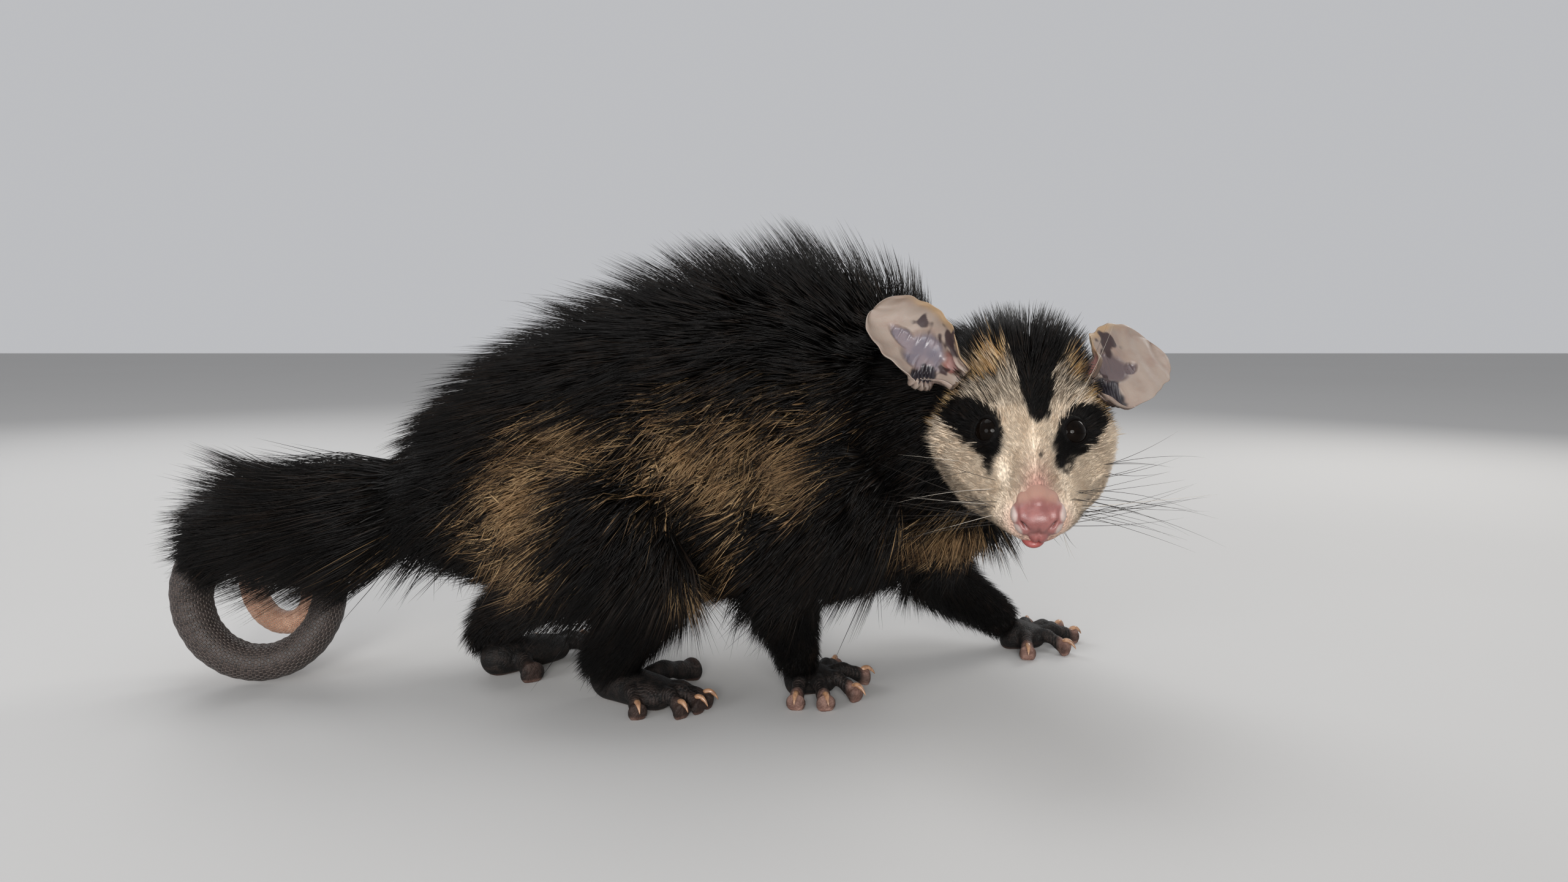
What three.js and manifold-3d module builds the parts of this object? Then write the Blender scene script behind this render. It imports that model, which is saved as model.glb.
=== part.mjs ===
import * as THREE from "three";
import { mergeVertices } from "three/addons/utils/BufferGeometryUtils.js";
import Module from "manifold-3d";

// A white-eared opossum, life size: it stands on four feet with its back arched, its head turned to its
// right, and its tail curled under itself. Millimetres, +Z up, +X towards the chest, +Y to its left.

const wasm = await Module();
wasm.setup();

const vec = (x, y, z) => new THREE.Vector3(x, y, z);
const upward = vec(0, 0, 1);
const forward = vec(1, 0, 0);

// Driving dimensions
const clearance = 0.3; // gap between neighbouring pieces
const swellRounds = 150;
const swellMost = 16; // a sharp corner moves out by at most this many clearances
const earLength = 48;
const earWidth = 36;
const earThickness = 1.7;
const eyeRadius = 6.2;
const lidThickness = 1.1;
const eyeOpening = 6; // half the width between the lids' corners
const toeRadius = 3.2;
const padSink = 0.7; // how far a pad is pressed flat on the floor
const foreClaw = 8;
const hindClaw = 6.5;
const tailCurl = { x: -239, z: 40, radius: 33.5 }; // centre of the tail's curl, and its radius at the start
const coreShare = 0.45; // how much of the coat's depth is solid underneath the locks
const rowEasing = 0.55; // how much closer a body's rows lie towards its rounded ends
const bareUnderside = -0.9; // the belly's hair is too short for locks below this height on a section
const lockBend = 0.35; // a lock's angle at its tip, as a share of the angle at its root
const lockRidge = 0.2; // height of a lock's ridge, as a share of its half width
const lockMean = 0.65; // a lock's mean angle, as a share of the angle at its root
const lockShortest = 12;
const lockLongest = 48;
const lockVariety = 0.13; // how much locks differ in length and width
const lockScatter = 0.3; // how far locks stray from even places, as a share of their spacing

// Seeded draw from 0 to 1, the same on every run
let seed = 20251;
function draw() {
  seed = (seed * 1664525 + 1013904223) % 4294967296;
  return seed / 4294967296;
}
const vary = (amount) => 1 + amount * (2 * draw() - 1);

// Materials
const material = (color, roughness) =>
  new THREE.MeshStandardMaterial({ color, roughness, metalness: 0 });
const looks = {
  blackCoat: material(0x191614, 0.85),
  faceFur: material(0xb09a80, 0.9),
  legFur: material(0x15110f, 0.85),
  pawSkin: material(0x241c1a, 0.6),
  earSkin: material(0xd8b8a4, 0.5),
  noseSkin: material(0xd98c88, 0.4),
  eyeball: material(0x080606, 0.05),
  claw: material(0xc9a183, 0.4),
  darkTail: material(0x2b2523, 0.6),
  paleTail: material(0xb08468, 0.6),
};

// A swept body: sections along a smooth line. Each key is [x, y, z, side, above, below, coat above, coat
// beside, coat below, peak, jowl]. The coat's core adds to the section, a peak narrows its upper half
// towards the top, and a jowl squares its lower half.
function sweptBody(keys, { up = upward, capStart = 0.12, capEnd = 0.12, coat = coreShare } = {}) {
  const centre = new THREE.CatmullRomCurve3(keys.map((k) => vec(k[0], k[1], k[2])));
  const columns = (a, b, c) =>
    new THREE.CatmullRomCurve3(keys.map((k) => vec(k[a] ?? 0, k[b] ?? 0, k[c] ?? 0)), false, "catmullrom");
  const skin = columns(3, 4, 5);
  const fur = columns(7, 6, 8);
  const form = columns(9, 10, 10);
  const cap = (t) => {
    const near = Math.min(capStart > 0 ? t / capStart : 1, capEnd > 0 ? (1 - t) / capEnd : 1, 1);
    return Math.sqrt(Math.max(0, 1 - (1 - near) ** 2));
  };
  const frame = (t) => {
    const along = centre.getTangent(t);
    const side = up.clone().cross(along).normalize();
    return { along, side, above: along.clone().cross(side).normalize() };
  };
  // angle 0 is the left side, a quarter turn is the top
  const at = (t, angle, lift = 0) => {
    const { side, above } = frame(t);
    const size = skin.getPoint(t).addScaledVector(fur.getPoint(t), coat).multiplyScalar(cap(t));
    const shape = form.getPoint(t);
    const high = Math.sin(angle);
    const flat = Math.cos(angle);
    const squared = Math.sign(flat) * Math.abs(flat) ** (1 - shape.y);
    const breadth = high > 0 ? flat * (1 - shape.x * high) : squared;
    return centre
      .getPoint(t)
      .addScaledVector(side, breadth * (size.x + lift))
      .addScaledVector(above, high * ((high > 0 ? size.y : size.z) + lift));
  };
  const normal = (t, angle) => {
    const step = 0.01;
    const round = at(t, angle + step).sub(at(t, angle - step));
    const along = at(Math.min(1, t + step), angle).sub(at(Math.max(0, t - step), angle));
    return along.cross(round).normalize().negate();
  };
  const coatDepth = (t, angle) => {
    const f = fur.getPoint(t);
    const vertical = Math.sin(angle) > 0 ? f.y : f.z;
    return Math.hypot(Math.cos(angle) * f.x, Math.sin(angle) * vertical);
  };
  return { at, normal, frame, coatDepth };
}

// A unit sphere's grid carried onto a swept body: its poles are the body's two ends. Rows lie closer
// towards a rounded end; a flat end has its first ring in the end's plane.
function bodyGeometry(body, around, rows, { from = 0, to = 1, flatStart = false, flatEnd = false } = {}) {
  const geometry = new THREE.SphereGeometry(1, around, rows);
  const position = geometry.getAttribute("position");
  const first = flatStart ? 1 : 0;
  const last = flatEnd ? rows - 1 : rows;
  const ease = (even) => {
    if (flatStart && flatEnd) return even;
    if (flatStart) return Math.sin((Math.PI / 2) * even);
    if (flatEnd) return 1 - Math.cos((Math.PI / 2) * even);
    return 0.5 - 0.5 * Math.cos(Math.PI * even);
  };
  for (let i = 0; i < position.count; i++) {
    const polar = Math.acos(THREE.MathUtils.clamp(position.getY(i), -1, 1)) / Math.PI;
    const row = Math.round(polar * rows);
    const angle = Math.atan2(position.getZ(i), position.getX(i));
    const even = THREE.MathUtils.clamp((row - first) / (last - first), 0, 1);
    const t = THREE.MathUtils.lerp(from, to, THREE.MathUtils.lerp(even, ease(even), rowEasing));
    const onAxis = row === 0 || row === rows;
    const point = onAxis ? body.at(t, 0).add(body.at(t, Math.PI)).multiplyScalar(0.5) : body.at(t, angle);
    position.setXYZ(i, point.x, point.y, point.z);
  }
  return geometry;
}

function ellipsoid(centre, radii, around = 12, rows = 8, turn = new THREE.Euler()) {
  const geometry = new THREE.SphereGeometry(1, around, rows);
  geometry.scale(radii.x, radii.y, radii.z);
  geometry.applyMatrix4(new THREE.Matrix4().makeRotationFromEuler(turn));
  return geometry.translate(centre.x, centre.y, centre.z);
}

// A tube with rounded ends along a few points, with its radius at each
function tube(points, radii, around = 8, rows = 10) {
  const keys = points.map((p, i) => [p.x, p.y, p.z, radii[i], radii[i], radii[i]]);
  const alongZ = Math.abs(points[0].clone().sub(points.at(-1)).normalize().z) > 0.9;
  return bodyGeometry(sweptBody(keys, { up: alongZ ? forward : upward }), around, rows);
}

// Moves every corner out until each face that meets there has moved out by the given distance, or nearly
function swell(geometry, distance) {
  const p = geometry.getAttribute("position");
  const index = geometry.index.array;
  const corner = (i) => new THREE.Vector3().fromBufferAttribute(p, i);
  const faces = Array.from({ length: p.count }, () => []);
  for (let i = 0; i < index.length; i += 3) {
    const [a, b, c] = [corner(index[i]), corner(index[i + 1]), corner(index[i + 2])];
    const normal = b.sub(a).cross(c.sub(a)).normalize();
    for (let k = 0; k < 3; k++) faces[index[i + k]].push(normal);
  }
  for (let i = 0; i < p.count; i++) {
    const move = vec(0, 0, 0);
    for (let round = 0; round < swellRounds; round++)
      for (const normal of faces[i]) {
        const short = distance - move.dot(normal);
        if (short > 0) move.addScaledVector(normal, short);
      }
    move.clampLength(0, distance * swellMost);
    p.setXYZ(i, p.getX(i) + move.x, p.getY(i) + move.y, p.getZ(i) + move.z);
  }
}

// Only positions, shared vertices merged, no collapsed faces, facing outwards
function tidy(geometry, grow = 0) {
  const bare = new THREE.BufferGeometry();
  bare.setAttribute("position", geometry.getAttribute("position").clone());
  if (geometry.index) bare.setIndex(geometry.index.clone());
  const merged = mergeVertices(bare, 1e-3);
  const index = Array.from(merged.index.array);
  const kept = [];
  for (let i = 0; i < index.length; i += 3) {
    const [a, b, c] = index.slice(i, i + 3);
    if (a !== b && b !== c && a !== c) kept.push(a, b, c);
  }
  const p = merged.getAttribute("position");
  const corner = (i) => new THREE.Vector3().fromBufferAttribute(p, i);
  let volume = 0;
  for (let i = 0; i < kept.length; i += 3)
    volume += corner(kept[i]).dot(corner(kept[i + 1]).cross(corner(kept[i + 2])));
  if (volume < 0) for (let i = 0; i < kept.length; i += 3) [kept[i], kept[i + 1]] = [kept[i + 1], kept[i]];
  merged.setIndex(kept);
  if (grow > 0) swell(merged, grow);
  return merged;
}

function solid(geometry, grow = 0) {
  const clean = tidy(geometry, grow);
  return new wasm.Manifold(
    new wasm.Mesh({
      numProp: 3,
      vertProperties: new Float32Array(clean.getAttribute("position").array),
      triVerts: new Uint32Array(clean.index.array),
    }),
  );
}

const join = (geometries, grow = 0) =>
  geometries.map((g) => solid(g, grow)).reduce((whole, piece) => whole.add(piece));

function largest(shape) {
  return shape.decompose().reduce((best, piece) => (piece.volume() > best.volume() ? piece : best));
}

function geometryOf(shape) {
  const mesh = shape.getMesh();
  return new THREE.BufferGeometry()
    .setAttribute("position", new THREE.BufferAttribute(new Float32Array(mesh.vertProperties), 3))
    .setIndex(new THREE.BufferAttribute(new Uint32Array(mesh.triVerts), 1));
}

const opossum = new THREE.Group();
opossum.name = "opossum";
const floorBlock = solid(new THREE.BoxGeometry(1200, 800, 400).translate(0, 0, -200));
const placed = [];

// Adds a node: its pieces are fused, cut clear of every node placed before it, and pared to one body.
function addNode(name, look, pieces, { minus = [], onFloor = false } = {}) {
  let shape = join(pieces);
  for (const cut of minus) shape = shape.subtract(cut);
  if (onFloor) shape = shape.subtract(floorBlock);
  for (const swollen of placed)
    if (shape.intersect(swollen).volume() > 0) shape = shape.subtract(swollen);
  shape = largest(shape);
  placed.push(join(pieces, clearance));
  const mesh = new THREE.Mesh(geometryOf(shape), looks[look]);
  mesh.name = name;
  opossum.add(mesh);
}

// A coat lock: a flat, tapered blade that is rooted in the core, rises from it and bends over along the lie
const lockRings = [
  { along: 0, breadth: 0.75 },
  { along: 0.5, breadth: 1 },
];
function lock(place, normal, lie, { length, width, stand, sink }) {
  const flatLie = lie.clone().addScaledVector(normal, -lie.dot(normal)).normalize();
  const rise = (angle) =>
    normal.clone().multiplyScalar(Math.sin(angle)).addScaledVector(flatLie, Math.cos(angle));
  const root = place.clone().addScaledVector(normal, -sink);
  const middle = root.clone().addScaledVector(rise(stand), sink + length * 0.5);
  const tip = middle.clone().addScaledVector(rise(stand * lockBend), length * 0.55);
  const path = new THREE.QuadraticBezierCurve3(root, middle, tip);
  const across = flatLie.clone().cross(normal).normalize();
  const points = lockRings.flatMap((ring) => {
    const centre = path.getPoint(ring.along);
    const outward = across.clone().cross(path.getTangent(ring.along)).normalize();
    const half = width * ring.breadth;
    return [
      centre.clone().addScaledVector(across, half),
      centre.clone().addScaledVector(across, -half),
      centre.clone().addScaledVector(outward, half * lockRidge + 0.5),
    ];
  });
  const last = points.push(path.getPoint(1)) - 1;
  const index = [0, 2, 1];
  for (let corner = 0; corner < last - 3; corner++) {
    const next = corner % 3 === 2 ? corner - 2 : corner + 1;
    index.push(corner, next, corner + 3, next, next + 3, corner + 3);
  }
  for (let k = 0; k < 3; k++) index.push(last - 3 + k, last - 3 + ((k + 1) % 3), last);
  return new THREE.BufferGeometry().setFromPoints(points).setIndex(index);
}

// Staggered rows of locks on a swept body, between two places along it and two angles round it. The lie
// is a direction, or a function of the place; the stand is the angle between lock and skin. Locks are set
// only above the lowest height on the section, where 1 is its top and -1 its bottom.
function coatOf(body, options) {
  const { from, to, rows, count, low, high, lie, stand, width } = options;
  const { sink = 5, reach = 0.55, lowest = -1 } = options;
  const locks = [];
  for (let row = 0; row < rows; row++)
    for (let k = 0; k < count; k++) {
      const stray = () => lockScatter * (draw() - 0.5);
      const t = from + ((to - from) * (row + 0.5 + stray())) / rows;
      const stagger = (row % 2) * 0.5 + 0.25;
      const angle = low + ((high - low) * (k + stagger + stray())) / count;
      if (Math.sin(angle) < lowest) continue;
      const lean = typeof stand === "function" ? stand(t, angle) : stand;
      const height = body.coatDepth(t, angle) * reach;
      const reached = THREE.MathUtils.clamp(height / Math.sin(lockMean * lean), lockShortest, lockLongest);
      const heading = typeof lie === "function" ? lie(t) : lie;
      const length = reached * vary(lockVariety);
      const shape = { length, width: width * vary(lockVariety), stand: lean, sink };
      locks.push(lock(body.at(t, angle), body.normal(t, angle), heading, shape));
    }
  return locks;
}

// The head, in its own frame: origin between the eyes, +X to the nose, +Y left, +Z up
const headPlace = vec(92.4, -96.8, 126.3);
const headPitch = THREE.MathUtils.degToRad(22);
const headYaw = THREE.MathUtils.degToRad(-99);
const headRoll = THREE.MathUtils.degToRad(2.5);
const headFrame = new THREE.Matrix4()
  .makeRotationFromEuler(new THREE.Euler(headRoll, headPitch, headYaw, "ZYX"))
  .setPosition(headPlace);
const onHead = (geometry) => geometry.applyMatrix4(headFrame);

const headKeys = [
  [-52, -2, -5, 13, 14, 13, 6, 4, 4, 0, 0],
  [-45, -3, -6, 23, 21, 22, 10, 5, 5, 0, 0.1],
  [-33, -3.5, -7, 30, 26, 27, 9, 5, 5, 0, 0.2],
  [-18, -3, -8, 32.5, 26, 28, 6, 3.5, 4, 0.15, 0.3],
  [-5, -1.5, -10, 31, 22.5, 26, 3, 2.5, 3.5, 0.45, 0.35],
  [8, -0.5, -12, 27.5, 20, 23, 1.5, 1.5, 2.5, 0.6, 0.35],
  [20, 0, -13, 21.5, 15.5, 16.5, 1.5, 1.5, 2, 0.55, 0.3],
  [31, 0, -13, 15.5, 11.5, 11, 1, 1.5, 1.5, 0.4, 0.2],
  [39, 0, -12.5, 11.5, 9, 9, 0.5, 1, 1, 0.15, 0.1],
  [45, 0, -11, 8.5, 6.5, 6.5, 0, 0, 0, 0, 0],
];
const headBody = sweptBody(headKeys, { capStart: 0.1, capEnd: 0.08, coat: 0.8 });
const eyePlace = (side) => vec(2, side * 14.6, 0.3);

// The lid's almond opening, a short prism along the gaze
function lidOpening(side) {
  const outline = new THREE.Shape();
  outline.moveTo(-eyeOpening, 0);
  outline.quadraticCurveTo(0, eyeOpening * 1.75, eyeOpening, 0);
  outline.quadraticCurveTo(0, -eyeOpening * 1.6, -eyeOpening, 0);
  const prism = new THREE.ExtrudeGeometry(outline, { depth: 14, bevelEnabled: false, curveSegments: 3 });
  const gaze = vec(0.66, side * 0.46, 0.58).normalize();
  const place = eyePlace(side);
  const turn = new THREE.Matrix4().lookAt(gaze, vec(0, 0, 0), upward).setPosition(place);
  return prism.applyMatrix4(turn);
}

// The mouth line runs from under the nose back along each side of the muzzle.
function mouthLine(side) {
  const spots = [
    [0.98, -1.45],
    [0.9, -0.95],
    [0.8, -0.7],
    [0.68, -0.55],
    [0.58, -0.42],
  ];
  const points = spots.map(([t, a]) => headBody.at(t, side > 0 ? a : Math.PI - a, 0.2));
  return tube(points, [0.9, 0.9, 0.8, 0.7, 0.5], 4, 6);
}

const nosePieces = () => [
  ellipsoid(vec(43, 0, -10), vec(7, 7, 6.2), 11, 7),
  ellipsoid(vec(42.5, 5.6, -10.6), vec(5.4, 4, 4.9), 8, 5),
  ellipsoid(vec(42.5, -5.6, -10.6), vec(5.4, 4, 4.9), 8, 5),
];
const nostrilTurn = (side) => new THREE.Euler(0, 0, side * 0.7);
const nostril = (side) =>
  onHead(ellipsoid(vec(46.2, side * 6.6, -10.2), vec(3.4, 1.5, 2.2), 6, 4, nostrilTurn(side)));
const philtrum = onHead(ellipsoid(vec(49.6, 0, -13.5), vec(1.2, 0.7, 4), 6, 4));

addNode("nose", "noseSkin", nosePieces().map(onHead), {
  minus: [solid(nostril(1)), solid(nostril(-1)), solid(philtrum)],
});
for (const [name, side] of [["right", -1], ["left", 1]]) {
  const radii = vec(eyeRadius, eyeRadius, eyeRadius);
  addNode(`eye_${name}`, "eyeball", [onHead(ellipsoid(eyePlace(side), radii, 12, 8))]);
}

const crown = coatOf(headBody, {
  from: 0.1,
  to: 0.36,
  rows: 2,
  count: 4,
  low: 0.8,
  high: 2.4,
  lie: vec(-1, 0, 0.3),
  stand: 0.7,
  width: 7,
  sink: 3,
  reach: 0.9,
});
const lids = [1, -1].map((side) => {
  const r = eyeRadius + clearance + lidThickness;
  return ellipsoid(eyePlace(side), vec(r, r, r), 10, 7);
});
const whiskerPads = [1, -1].map((side) => ellipsoid(vec(32, side * 8.5, -14.5), vec(9.5, 6, 6.5), 9, 6));
const lowerLip = ellipsoid(vec(37, 0, -22.2), vec(7.5, 6.6, 3.6), 10, 6);
addNode(
  "head",
  "faceFur",
  [bodyGeometry(headBody, 22, 17), ...lids, ...whiskerPads, lowerLip, ...crown].map(onHead),
  {
    minus: [1, -1].flatMap((side) => [solid(onHead(lidOpening(side))), solid(onHead(mouthLine(side)))]),
  },
);

// Ears: thin cupped sheets, a funnel at the root that opens towards the tip
function earGeometry({ root, rise, open, cup }) {
  const up = rise.clone().normalize();
  const face = open.clone().addScaledVector(up, -open.dot(up)).normalize();
  const wide = up.clone().cross(face);
  const surface = (s, t) => {
    const grown = THREE.MathUtils.smoothstep(t, 0, 0.45);
    const tip = t > 0.45 ? Math.sqrt(Math.max(0.02, 1 - ((t - 0.45) / 0.55) ** 2.5)) : 1;
    const half = (earWidth / 2) * (0.6 + 0.4 * grown) * tip;
    const wrap = THREE.MathUtils.lerp(2.1, cup, THREE.MathUtils.smoothstep(t, 0, 0.5));
    const radius = half / wrap;
    const sweep = s * wrap;
    return root
      .clone()
      .addScaledVector(up, earLength * t)
      .addScaledVector(wide, radius * Math.sin(sweep))
      .addScaledVector(face, radius * (1 - Math.cos(sweep)) - 5 * t * t);
  };
  const normal = (s, t) => {
    const e = 0.02;
    const ds = surface(Math.min(1, s + e), t).sub(surface(Math.max(-1, s - e), t));
    const dt = surface(s, Math.min(1, t + e)).sub(surface(s, Math.max(0, t - e)));
    return ds.cross(dt).normalize();
  };
  const columns = 10;
  const rowsUp = 8;
  const points = [];
  for (const face2 of [1, -1])
    for (let j = 0; j <= rowsUp; j++)
      for (let i = 0; i <= columns; i++) {
        const s = -1 + (2 * i) / columns;
        const t = (j / rowsUp) ** 0.9;
        const rim = Math.max(Math.abs(s), t) > 0.93 ? 0.6 : 1;
        points.push(surface(s, t).addScaledVector(normal(s, t), (face2 * rim * earThickness) / 2));
      }
  const w = columns + 1;
  const other = w * (rowsUp + 1);
  const index = [];
  const quad = (a, b, c, d) => index.push(a, b, c, a, c, d);
  for (let j = 0; j < rowsUp; j++)
    for (let i = 0; i < columns; i++) {
      const a = j * w + i;
      quad(a, a + 1, a + w + 1, a + w);
      index.push(other + a, other + a + w + 1, other + a + 1, other + a, other + a + w, other + a + w + 1);
    }
  for (let i = 0; i < columns; i++) {
    const top = rowsUp * w + i;
    quad(i + 1, i, other + i, other + i + 1);
    quad(top, top + 1, other + top + 1, other + top);
  }
  for (let j = 0; j < rowsUp; j++) {
    const a = j * w;
    const b = a + columns;
    quad(a, a + w, other + a + w, other + a);
    quad(b + w, b, other + b, other + b + w);
  }
  return new THREE.BufferGeometry().setFromPoints(points).setIndex(index);
}
const ears = {
  right: { root: vec(-21, -25, 8), rise: vec(-0.35, -0.74, 0.57), open: vec(0.88, -0.1, 0.45), cup: 1.35 },
  left: { root: vec(-23, 23, 4), rise: vec(-0.8, 0.58, 0), open: vec(0.88, 0.05, 0.45), cup: 0.85 },
};
for (const [name, ear] of Object.entries(ears)) addNode(`ear_${name}`, "earSkin", [onHead(earGeometry(ear))]);

// Feet: a palm with five splayed toes, pads flat on the floor
function toe(base, tip, radius, lift) {
  const reach = tip.clone().sub(base);
  const spot = (share, z) => base.clone().addScaledVector(reach, share).setZ(z);
  return tube(
    [spot(-0.15, lift - 1), spot(0.35, lift), spot(0.72, lift * 0.72), spot(1, radius + 0.6 - padSink)],
    [radius * 1.15, radius, radius * 0.95, radius * 1.3],
    5,
    5,
  );
}

function claw(base, tip, radius, length) {
  const ahead = tip.clone().sub(base).setZ(0).normalize();
  const spot = (share, z) => tip.clone().addScaledVector(ahead, share).setZ(z);
  const top = radius * 2 + 1.2;
  return tube(
    [spot(-0.5, top - 1.2), spot(length * 0.5, top), spot(length * 0.85, top - 2), spot(length, top - 4.4)],
    [1.9, 1.7, 1.1, 0.35],
    5,
    4,
  );
}

const digitNames = ["thumb", "second", "third", "fourth", "fifth"];
function addFoot(name, palmKeys, digits, clawLength, clawed) {
  const palm = bodyGeometry(sweptBody(palmKeys, { capStart: 0.25, capEnd: 0.2 }), 9, 7);
  const toes = digits.map(([bx, by, tx, ty, r = toeRadius, lift = 8]) =>
    toe(vec(bx, by, 0), vec(tx, ty, 0), r, lift),
  );
  addNode(name, "pawSkin", [palm, ...toes], { onFloor: true });
  digits.forEach(([bx, by, tx, ty, r = toeRadius], i) => {
    if (clawed[i])
      addNode(`claw_${name}_${digitNames[i]}`, "claw", [claw(vec(bx, by, 0), vec(tx, ty, 0), r, clawLength)]);
  });
}
const allFive = [true, true, true, true, true];
const notThumb = [false, true, true, true, true];
addFoot(
  "hind_foot_right",
  [
    [-86, -22, 9, 7, 7, 9.6],
    [-76, -27, 8.5, 9, 8, 9.1],
    [-64, -34, 7.5, 11, 7, 8.1],
    [-54, -40, 6.5, 11.5, 6, 7],
    [-47, -43, 5.5, 8, 4.5, 5],
  ],
  [
    [-61, -24, -43, 0, 4.3, 9],
    [-51, -36, -32.5, -40],
    [-49, -40, -36, -47.5],
    [-52, -44, -43, -54],
    [-67, -39, -61.5, -55],
  ],
  hindClaw,
  notThumb,
);
addFoot(
  "hind_foot_left",
  [
    [-141, 0, 9, 7, 7, 9.6],
    [-134, 8, 8.5, 9, 8, 9.1],
    [-124, 20, 7.5, 11, 7, 8.1],
    [-115, 31, 6.5, 11.5, 6, 7],
    [-110, 37, 5.5, 8, 4.5, 5],
  ],
  [
    [-127, 12, -116.5, -5, 4.3, 7],
    [-110, 30, -94, 36],
    [-109, 34, -96, 46],
    [-112, 38, -103, 53],
    [-124, 30, -126, 47],
  ],
  hindClaw,
  notThumb,
);
addFoot(
  "forefoot_right",
  [
    [4, -24, 10, 7, 7, 10.6],
    [7, -21, 8.5, 9, 7, 9.1],
    [12, -18, 7, 11, 6.5, 7.6],
    [18, -16, 6.2, 10.5, 5, 6.6],
    [23, -14, 5.2, 7, 4, 4.6],
  ],
  [
    [17, -12, 24, 9],
    [21, -14, 37.5, -7],
    [19, -20, 32, -32],
    [14, -24, 18, -44],
    [8, -24, 5, -43],
  ],
  foreClaw,
  allFive,
);
addFoot(
  "forefoot_left",
  [
    [112, 49, 10, 7, 7, 10.6],
    [116, 50, 8.5, 9, 7, 9.1],
    [122, 52, 7, 11, 6.5, 7.6],
    [128, 53, 6.2, 10.5, 5, 6.6],
    [133, 54, 5.2, 7, 4, 4.6],
  ],
  [
    [122, 46, 120, 29],
    [128, 47, 141, 37],
    [131, 52, 150, 60],
    [129, 58, 145, 72],
    [124, 60, 130, 80],
  ],
  foreClaw,
  allFive,
);

// Legs: each key is [x, y, z, side, ahead, behind, coat ahead, coat beside, coat behind]
const legs = {
  shank_right: [
    [-80, -29, 11, 8, 9, 10, 3, 3, 3],
    [-76, -31, 20, 8.5, 11, 11, 4, 4, 4],
    [-64, -37, 38, 10, 13, 13, 6, 6, 6],
    [-54, -43, 56, 12, 15, 15, 8, 8, 8],
    [-52, -44, 66, 11, 14, 14, 8, 8, 8],
  ],
  shank_left: [
    [-139, 8, 11, 8, 10, 10, 3, 3, 3],
    [-138, 14, 22, 8.5, 12, 11, 4, 4, 4],
    [-122, 24, 36, 10, 14, 14, 6, 6, 6],
    [-100, 36, 50, 12, 16, 16, 8, 8, 8],
    [-88, 42, 58, 11, 14, 14, 8, 8, 8],
  ],
  thigh_right: [
    [-56, -42, 54, 12, 14, 15, 10, 10, 10],
    [-62, -43, 64, 15, 22, 24, 14, 12, 14],
    [-78, -41, 80, 17, 30, 32, 16, 14, 20],
    [-96, -34, 96, 16, 30, 32, 18, 14, 22],
    [-108, -24, 110, 12, 20, 20, 16, 12, 16],
  ],
  thigh_left: [
    [-80, 42, 52, 12, 14, 16, 10, 10, 10],
    [-86, 43, 64, 15, 22, 26, 14, 12, 14],
    [-92, 41, 80, 17, 30, 32, 16, 14, 20],
    [-100, 34, 96, 16, 30, 32, 18, 14, 22],
    [-108, 24, 110, 12, 20, 20, 16, 12, 16],
  ],
  forearm_right: [
    [7, -23, 11, 7.5, 8.5, 8, 2, 2, 2],
    [5, -26, 22, 8, 9.5, 9, 3, 3, 3],
    [2, -33, 38, 9.5, 11, 10.5, 4, 4, 5],
    [-1, -38, 54, 11, 12.5, 12, 6, 6, 7],
    [-1, -40, 62, 10, 11, 11, 6, 6, 7],
  ],
  forearm_left: [
    [114, 50, 11, 7.5, 8, 8, 2, 2, 2],
    [106, 49, 18, 8, 9.5, 9, 3, 3, 3],
    [90, 46, 30, 9.5, 11, 11, 4, 4, 5],
    [72, 43, 43, 11, 13, 13, 6, 6, 7],
    [64, 42, 48, 10, 11, 11, 6, 6, 7],
  ],
  upper_arm_right: [
    [-2, -38, 54, 10, 11, 12, 8, 8, 10],
    [2, -40, 66, 13, 16, 17, 12, 12, 14],
    [16, -38, 84, 15, 22, 22, 14, 12, 16],
    [32, -30, 102, 14, 24, 22, 16, 12, 16],
    [42, -20, 116, 10, 16, 16, 14, 10, 14],
  ],
  upper_arm_left: [
    [68, 42, 44, 10, 11, 12, 8, 8, 10],
    [66, 42, 56, 13, 16, 17, 12, 12, 14],
    [58, 38, 76, 15, 22, 22, 14, 12, 16],
    [48, 30, 98, 14, 24, 22, 16, 12, 16],
    [44, 20, 112, 10, 16, 16, 14, 10, 14],
  ],
};
const outer = { right: 0, left: Math.PI };
const haunchLie = vec(-0.85, 0, -0.6);
for (const [name, keys] of Object.entries(legs)) {
  const body = sweptBody(keys, { up: forward, capStart: 0.14, capEnd: 0.16 });
  const [kind, side] = [name.slice(0, name.lastIndexOf("_")), name.slice(name.lastIndexOf("_") + 1)];
  const backwards = side === "right" ? -1 : 1;
  const rear = outer[side] + backwards * 1.9;
  const front = outer[side] - backwards * 0.9;
  const arc = { low: Math.min(rear, front), high: Math.max(rear, front), lie: haunchLie, stand: 0.5 };
  const locks = {
    thigh: () => coatOf(body, { from: 0.2, to: 0.85, rows: 3, count: 4, width: 11, ...arc }),
    upper_arm: () => coatOf(body, { from: 0.3, to: 0.85, rows: 2, count: 3, width: 10, ...arc }),
  };
  addNode(name, "legFur", [bodyGeometry(body, 10, 7), ...(locks[kind]?.() ?? [])]);
}

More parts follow.
